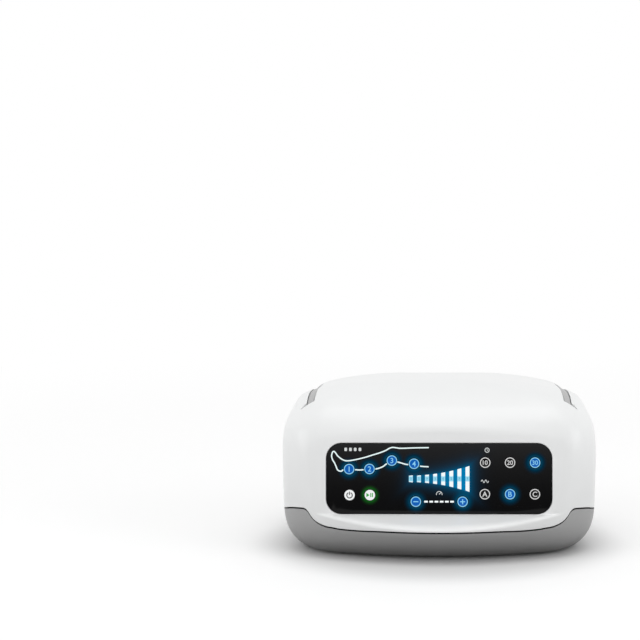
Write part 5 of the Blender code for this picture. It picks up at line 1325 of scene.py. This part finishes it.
def circuit_board(name):
    """Glass-fibre board under green mask: copper tracks 0.8 mm apart show through it as a lighter green."""
    material, tree, shader = new_finish(name, Roughness=0.35, IOR=1.55)
    tracks = add_node(tree, "TexBrick", {"Vector": object_place(tree), "Scale": 1.0, "Mortar Size": 0.00012,
                                         "Brick Width": 0.0065, "Row Height": 0.0008,
                                         "Color1": linear("#0E5A33"), "Color2": linear("#11663A"),
                                         "Mortar": linear("#08431F")})
    wire(tree, shader, Base_Color=tracks.outputs[0])
    add_bump(tree, shader, tracks.outputs[1], 2e-5, 0.6, True)
    return material


def striped(name, light, dark, pitch, depth, axis, roughness, metallic=0.0):
    """Stripes at a real pitch: windings, laminations, or the cores of a flat cable."""
    material, tree, shader = new_finish(name, Roughness=roughness, Metallic=metallic)
    wave = add_node(tree, "TexWave", {"Vector": object_place(tree), "Scale": math.tau / 20 / pitch,
                                      "Distortion": 0.0}, bands_direction=axis).outputs[1]
    wire(tree, shader, Base_Color=mixed_colour(tree, wave, dark, light))
    add_bump(tree, shader, wave, depth)
    return material


def silicone(name):
    """Extruded silicone hose: milky, half clear, slightly tacky gloss."""
    material, tree, shader = new_finish(name, IOR=1.41, Transmission_Weight=0.35)
    place = grain(tree, shader, 0.0008, 1e-5)
    clouded(tree, shader, place, linear("#CBD2D5"), 0.008, 0.03, 0.32, 0.05)
    return material


def inner_finishes():
    """Finishes of what stands inside, by the names of their slots' materials in model.glb."""
    return {
        "inner_black": moulded("ABS, moulded black", linear("#39393B"), 0.5, 0.0005, 1e-5),
        "board_green": circuit_board("FR-4 board, green mask"),
        "dome_steel": turned_metal("Spring steel, pressed", linear("#CBCCCD"), 0.3, 0.0002),
        "valve_plastic": moulded("Acetal, moulded natural", linear("#CCC6B2"), 0.4, 0.0006, 1e-5, 1.48),
        "coil_copper": striped("Copper wire, enamelled and wound", linear("#C8793F"), linear("#6B3414"),
                               0.0004, 5e-5, "Z", 0.3, 1.0),
        "plunger_steel": turned_metal("Stainless steel, turned", linear("#CBCCCD"), 0.28, 0.0002),
        "cradle_rubber": rubber("Rubber, moulded black", linear("#262626")),
        "pump_plastic": moulded("Nylon, moulded dark grey", linear("#6F6F72"), 0.45, 0.0006, 1.5e-5, 1.53),
        "motor_steel": turned_metal("Steel, drawn and zinc-plated", linear("#CBCCCD"), 0.32, 0.0003),
        "transformer_iron": striped("Silicon steel laminations, varnished", linear("#8A7C66"),
                                    linear("#4A4236"), 0.0005, 3e-5, "Z", 0.45),
        "capacitor_sleeve": moulded("PVC shrink sleeve, black", linear("#333336"), 0.3, 0.001, 1e-5),
        "hose_silicone": silicone("Silicone hose, extruded"),
        "ribbon_grey": striped("PVC ribbon cable, grey", linear("#B8B8BA"), linear("#8F8F92"), 0.00127,
                               1.5e-4, "X", 0.45),
        "lead_sheath": moulded("PVC sheath, extruded black", linear("#2C2C2E"), 0.4, 0.0006, 1e-5),
    }


# Operators


class PUMP_OT_cover(bpy.types.Operator):
    """Build the white cover, with its window and shoulder grooves"""

    bl_idname = "pump.cover"
    bl_label = "Cover"

    def execute(self, context):
        sizes = context.scene.pump_sizes
        cover = lofted("cover_shell", cover_rows(sizes), ends=False)
        height = surface_of(cover)
        strips = [groove_strip(f"groove_strip_{word}", side, sizes, height)
                  for word, side in (("left", -1), ("right", 1))]
        tools = [window_tool(sizes)] + [groove_tool(side, sizes, height) for side in (-1, 1)]
        carve(cover, cover_ribs(), "UNION")
        carve(cover, cover_inner_tools())
        for tool in tools:
            carve(cover, tool)
        # White ABS from a spark-eroded mould: satin, with a grain of about half a millimetre
        white = moulded("ABS, moulded white", context.scene.pump_colours.cover, 0.30, 0.0006, 6e-6)
        polish(cover, white, "cover_white", "housing", "top_cover")
        # Grey ABS strips pressed into the grooves, duller than the cover
        grey = moulded("ABS, moulded grey strip", context.scene.pump_colours.groove, 0.45, 0.0006, 8e-6)
        for strip, word in zip(strips, ("left", "right")):
            polish(strip, grey, "groove_grey", "housing", "groove_liner_" + word)
        return {"FINISHED"}


class PUMP_OT_base(bpy.types.Operator):
    """Build the grey base tray, with its openings"""

    bl_idname = "pump.base"
    bl_label = "Base tray"

    def execute(self, context):
        base = lofted("base_shell", base_rows(context.scene.pump_sizes), ends=False)
        carve(base, base_ribs(), "UNION")
        carve(base, connector_windows())
        carve(base, base_tools())
        # Grey ABS with a slightly coarser grain than the cover, which hides scuffs near the table
        grey = moulded("ABS, moulded grey", context.scene.pump_colours.base, 0.42, 0.0008, 1.2e-5)
        polish(base, grey, "base_grey", "housing", "base_tray")
        return {"FINISHED"}


class PUMP_OT_panel(bpy.types.Operator):
    """Build the gloss black panel and what is printed on it"""

    bl_idname = "pump.panel"
    bl_label = "Control panel"

    def execute(self, context):
        sizes, colours = context.scene.pump_sizes, context.scene.pump_colours
        smoked = smoked_panel("Acrylic, smoked gloss", sizes, colours)
        polish(make_panel(sizes), smoked, "panel_black", "housing", "control_panel")
        white = ink("Screen ink, lit white", colours.line, 0.92)
        polish(leg_line(sizes), white, "key_white", "housing")
        pale = ink("Screen ink, lit pale grey", linear("#D2D6D6"), 0.7)
        polish(panel_signs(sizes), pale, "key_white", "housing")
        return {"FINISHED"}


class PUMP_OT_lights(bpy.types.Operator):
    """Build the lit pressure bars and level dashes"""

    bl_idname = "pump.lights"
    bl_label = "Light bars"

    def execute(self, context):
        sizes, colours = context.scene.pump_sizes, context.scene.pump_colours
        lit = lit_plastic("Acrylic light guide, lit white", linear("#2A2E30"), colours.light,
                          middle=colours.light_middle)
        polish(light_bars(), lit, "light_guide_clear", "housing", "light_guide")
        teal = ink("Screen ink, teal", linear("#2C6F82"), 0.6)
        polish(bar_figures(sizes), teal, "light_guide_clear", "housing")
        return {"FINISHED"}


class PUMP_OT_keys(bpy.types.Operator):
    """Build the fourteen keys with their printed figures and signs"""

    bl_idname = "pump.keys"
    bl_label = "Keys"

    def execute(self, context):
        sizes, colours = context.scene.pump_sizes, context.scene.pump_colours
        lit = lit_plastic("Polycarbonate key, lit blue", linear("#030B18"), colours.key_lit,
                          clear=KEY_CLEAR_RADIUS)
        white = lit_plastic("Polycarbonate key, lit white", linear("#606262"), linear("#E6E8E8"),
                            clear=KEY_CLEAR_RADIUS)
        dark = moulded("Polycarbonate key, unlit black", linear(KEY_BLACK), 0.15, 0.0004, 2e-6, 1.585)
        inks = {"lit": ink("Screen ink, lit pale blue", colours.ink_lit, 0.95),
                "white": ink("Screen ink, key white", colours.ink, 0.5),
                "dark": ink("Screen ink, dark grey", linear("#3A3A3A")),
                "green": ink("Screen ink, green", colours.ready, 0.8)}
        for name in KEY_PLACES:
            cap_finish, slot, colour = dark, "key_unlit", "white"
            if name in LIT_KEYS:
                cap_finish, slot, colour = lit, "key_lit_blue", "lit"
            if name == "key_power":
                cap_finish, slot, colour = white, "key_white", "dark"
            if name == "key_play_pause":
                cap_finish, slot, colour = white, "key_green", "green"
            polish(key_cap(name, sizes), cap_finish, slot, name, name)
            polish(key_print(name, sizes), inks[colour], slot, name)
        return {"FINISHED"}


class PUMP_OT_underside(bpy.types.Operator):
    """Build the rubber feet and the case screws"""

    bl_idname = "pump.underside"
    bl_label = "Feet and screws"

    def execute(self, context):
        black = rubber("Rubber foot, moulded", context.scene.pump_colours.rubber)
        for word, place in FOOT_PLACES.items():
            polish(foot_pad(f"foot_{word}_pad", place), black, "foot_rubber", "housing", "foot_" + word)
        steel = turned_metal("Steel screw, zinc-plated", linear("#C4C6C8"), 0.3, 0.0002)
        for word, place in POST_PLACES.items():
            screw = case_screw(f"case_screw_{word}_cross", place)
            polish(screw, steel, "screw_steel", "housing", "case_screw_" + word)
        return {"FINISHED"}


class PUMP_OT_connectors(bpy.types.Operator):
    """Build the air outlets and the mains inlet at the back"""

    bl_idname = "pump.connectors"
    bl_label = "Rear connectors"

    def execute(self, context):
        black = moulded("Nylon socket, moulded black", context.scene.pump_colours.nylon, 0.38, 0.0005, 8e-6,
                        1.53)
        lumens = [(x, LUMEN_RADIUS) for x in spread(4, LUMEN_PITCH)]
        for name, x in OUTLET_X.items():
            body = socket_body(name + "_socket", x, OUTLET_SIZE, OUTLET_CAVITY, FLANGE_Y[0], lumens)
            polish(body, black, "socket_black", "housing", name)
        pins = spread(2, PIN_PITCH)
        body = socket_body("mains_inlet_socket", INLET_X, INLET_SIZE, INLET_CAVITY, INLET_BACK_Y,
                           [(x, PIN_RADIUS + FIT_GAP) for x in pins])
        polish(body, black, "socket_black", "housing", "mains_inlet")
        brass = turned_metal("Brass pin, turned", linear("#D9B871"), 0.25, 0.0002)
        for word, x in zip(("right", "left"), pins):
            polish(mains_pin(f"mains_pin_{word}", x), brass, "pin_brass", "housing", "inlet_pin_" + word)
        return {"FINISHED"}


class PUMP_OT_inside(bpy.types.Operator):
    """Finish the solids inside the case"""

    bl_idname = "pump.inside"
    bl_label = "Inner parts"

    def execute(self, context):
        finishes = inner_finishes()
        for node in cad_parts.values():
            for slot in node.material_slots:
                if slot.material and slot.material.name in finishes:
                    slot.material = finishes[slot.material.name]
        return {"FINISHED"}


def seen_rays(tree):
    """One for the rays that show a surface: straight to the camera, mirrored or passed through."""
    path = add_node(tree, "LightPath")
    return math_chain(tree, path.outputs["Is Camera Ray"], ("MAXIMUM", path.outputs["Is Glossy Ray"]),
                      ("MAXIMUM", path.outputs["Is Transmission Ray"]))


def make_floor():
    """White floor that keeps the pump's shadow, with a soft shade painted round the pump, and fades to plain
    white away from it.
    """
    floor = lofted("floor", [raised(box_outline(6, 6), z) for z in (-0.001, 0)])
    material, tree, shader = new_finish("Studio floor, white", Roughness=0.9, Specular_IOR_Level=0.0,
                                        Emission_Color=(1, 1, 1, 1))
    seen = seen_rays(tree)
    place = object_place(tree)
    away = length_of(tree, place)
    far = mapped(tree, away, *FLOOR_FADE, kind="SMOOTHSTEP")
    # A wide soft shadow is painted on the floor round the pump, wider than deep, on top of the shadow that
    # the lamps cast
    squeezed = add_node(tree, "VectorMath", {0: place, 1: (0.9, 1, 1), 2: (0, 0.02, 0)},
                        operation="MULTIPLY_ADD").outputs[0]
    painted_shade = mapped(tree, length_of(tree, squeezed), *FLOOR_PAINTED_SHADE, "SMOOTHSTEP")
    shown = math_chain(tree, far, ("MULTIPLY", -1.0), ("ADD", 1.0), ("MULTIPLY", painted_shade))
    # What it gives back to the pump is weaker close by: the floor is painted darker there for bounced light
    # only, which paints shade on the tray's curved foot that faces it
    painted_dark_bounce = mapped(tree, away, *FLOOR_RETURN)
    wire(tree, shader, Base_Color=mixed_value(tree, seen, painted_dark_bounce, shown),
         Emission_Strength=math_chain(tree, far, ("MULTIPLY", seen)))
    floor.data.materials.append(material)


def make_world(studio):
    """Soft sky; the camera sees it white, and glossy surfaces see a dim room in front."""
    world = bpy.data.worlds.new("Studio")
    bpy.context.scene.world = world
    world.use_nodes = True
    tree = world.node_tree
    background = tree.nodes["Background"]
    way = add_node(tree, "SeparateXYZ", {0: add_node(tree, "TexCoord").outputs["Generated"]})
    sky = mapped(tree, way.outputs[2], 0.0, 1.0, studio.horizon, studio.zenith)
    room = mapped(tree, way.outputs[1], *GLOSS_ROOM)
    path = add_node(tree, "LightPath")
    clear = math_chain(tree, path.outputs["Is Camera Ray"], ("MAXIMUM", path.outputs["Is Transmission Ray"]))
    for test, level in ((path.outputs["Is Glossy Ray"], room), (clear, 1.0)):
        sky = mixed_value(tree, test, sky, level)
    wire(tree, background, Strength=sky)
    background.inputs["Color"].default_value = (1, 1, 1, 1)


def make_lamp(name, place, share):
    """Square soft lamp that adds this share of full white to a surface facing it."""
    toward = Vector(LAMP_AIM) - Vector(place)
    lamp = bpy.data.lights.new(name, "AREA")
    lamp.shape = "RECTANGLE"
    lamp.size = lamp.size_y = LAMP_SIZE
    lamp.energy = share * (math.pi * toward.length) ** 2
    holder = bpy.data.objects.new(name, lamp)
    bpy.context.scene.collection.objects.link(holder)
    holder.location = place
    holder.rotation_euler = toward.to_track_quat("-Z", "Y").to_euler()


def make_camera():
    """Camera of the photograph: long lens, square on, looking down a little."""
    back = np.array((0, -math.cos(VIEW_ELEVATION), math.sin(VIEW_ELEVATION)))
    up = np.array((0, math.sin(VIEW_ELEVATION), math.cos(VIEW_ELEVATION)))
    focal = PIXELS_PER_METRE * VIEW_DISTANCE
    middle = FRAME_PIXELS / 2
    toward = Vector(((VIEW_POINT_PIXEL[0] - middle) / focal, (middle - VIEW_POINT_PIXEL[1]) / focal, 1))
    turn = np.array(toward.rotation_difference(Vector((0, 0, 1))).to_matrix())
    right, up, ahead = turn.T @ np.stack([(1, 0, 0), up, -back])
    camera = bpy.data.cameras.new("Camera")
    camera.sensor_width = SENSOR_MM
    camera.lens = focal / FRAME_PIXELS * SENSOR_MM
    camera.clip_end = 50
    holder = bpy.data.objects.new("Camera", camera)
    bpy.context.scene.collection.objects.link(holder)
    axes = Matrix([list(right), list(up), list(-ahead)]).transposed().to_4x4()
    holder.matrix_world = Matrix.Translation(Vector(VIEW_POINT) + Vector(back) * VIEW_DISTANCE) @ axes
    bpy.context.scene.camera = holder


class PUMP_OT_stage(bpy.types.Operator):
    """Set up the floor, the soft light and the camera"""

    bl_idname = "pump.stage"
    bl_label = "Studio"

    def execute(self, context):
        studio = context.scene.pump_studio
        make_floor()
        make_world(studio)
        make_lamp("Overhead", (0.1, -0.35, 2.2), studio.overhead)
        make_lamp("Front right", (2.1, -1.0, 1.0), studio.side)
        make_lamp("Front left", (-2.1, -1.0, 0.9), studio.side)
        make_camera()
        context.scene.view_settings.view_transform = "Standard"
        return {"FINISHED"}


OPERATORS = (PUMP_OT_cover, PUMP_OT_base, PUMP_OT_panel, PUMP_OT_lights, PUMP_OT_keys, PUMP_OT_underside,
             PUMP_OT_connectors, PUMP_OT_inside, PUMP_OT_stage)


class PUMP_PT_pieces(bpy.types.Panel):
    """Lists the pump's pieces and their sizes and colours"""

    bl_idname = "PUMP_PT_pieces"
    bl_label = "Compression therapy pump"
    bl_space_type = "VIEW_3D"
    bl_region_type = "UI"
    bl_category = "Pump"

    def draw(self, context):
        for operator in OPERATORS:
            self.layout.operator(operator.bl_idname)
        for group in (context.scene.pump_sizes, context.scene.pump_colours, context.scene.pump_studio):
            box = self.layout.box()
            for name in group.__annotations__:
                box.prop(group, name)


CLASSES = (PumpSizes, PumpColours, PumpStudio) + OPERATORS + (PUMP_PT_pieces,)


def register():
    for cls in CLASSES:
        bpy.utils.register_class(cls)
    bpy.types.Scene.pump_sizes = PointerProperty(type=PumpSizes)
    bpy.types.Scene.pump_colours = PointerProperty(type=PumpColours)
    bpy.types.Scene.pump_studio = PointerProperty(type=PumpStudio)


def unregister():
    del bpy.types.Scene.pump_studio, bpy.types.Scene.pump_colours, bpy.types.Scene.pump_sizes
    for cls in reversed(CLASSES):
        bpy.utils.unregister_class(cls)


def main():
    register()
    for operator in OPERATORS:
        getattr(bpy.ops.pump, operator.bl_idname.split(".")[1])()


if __name__ == "__main__":
    main()
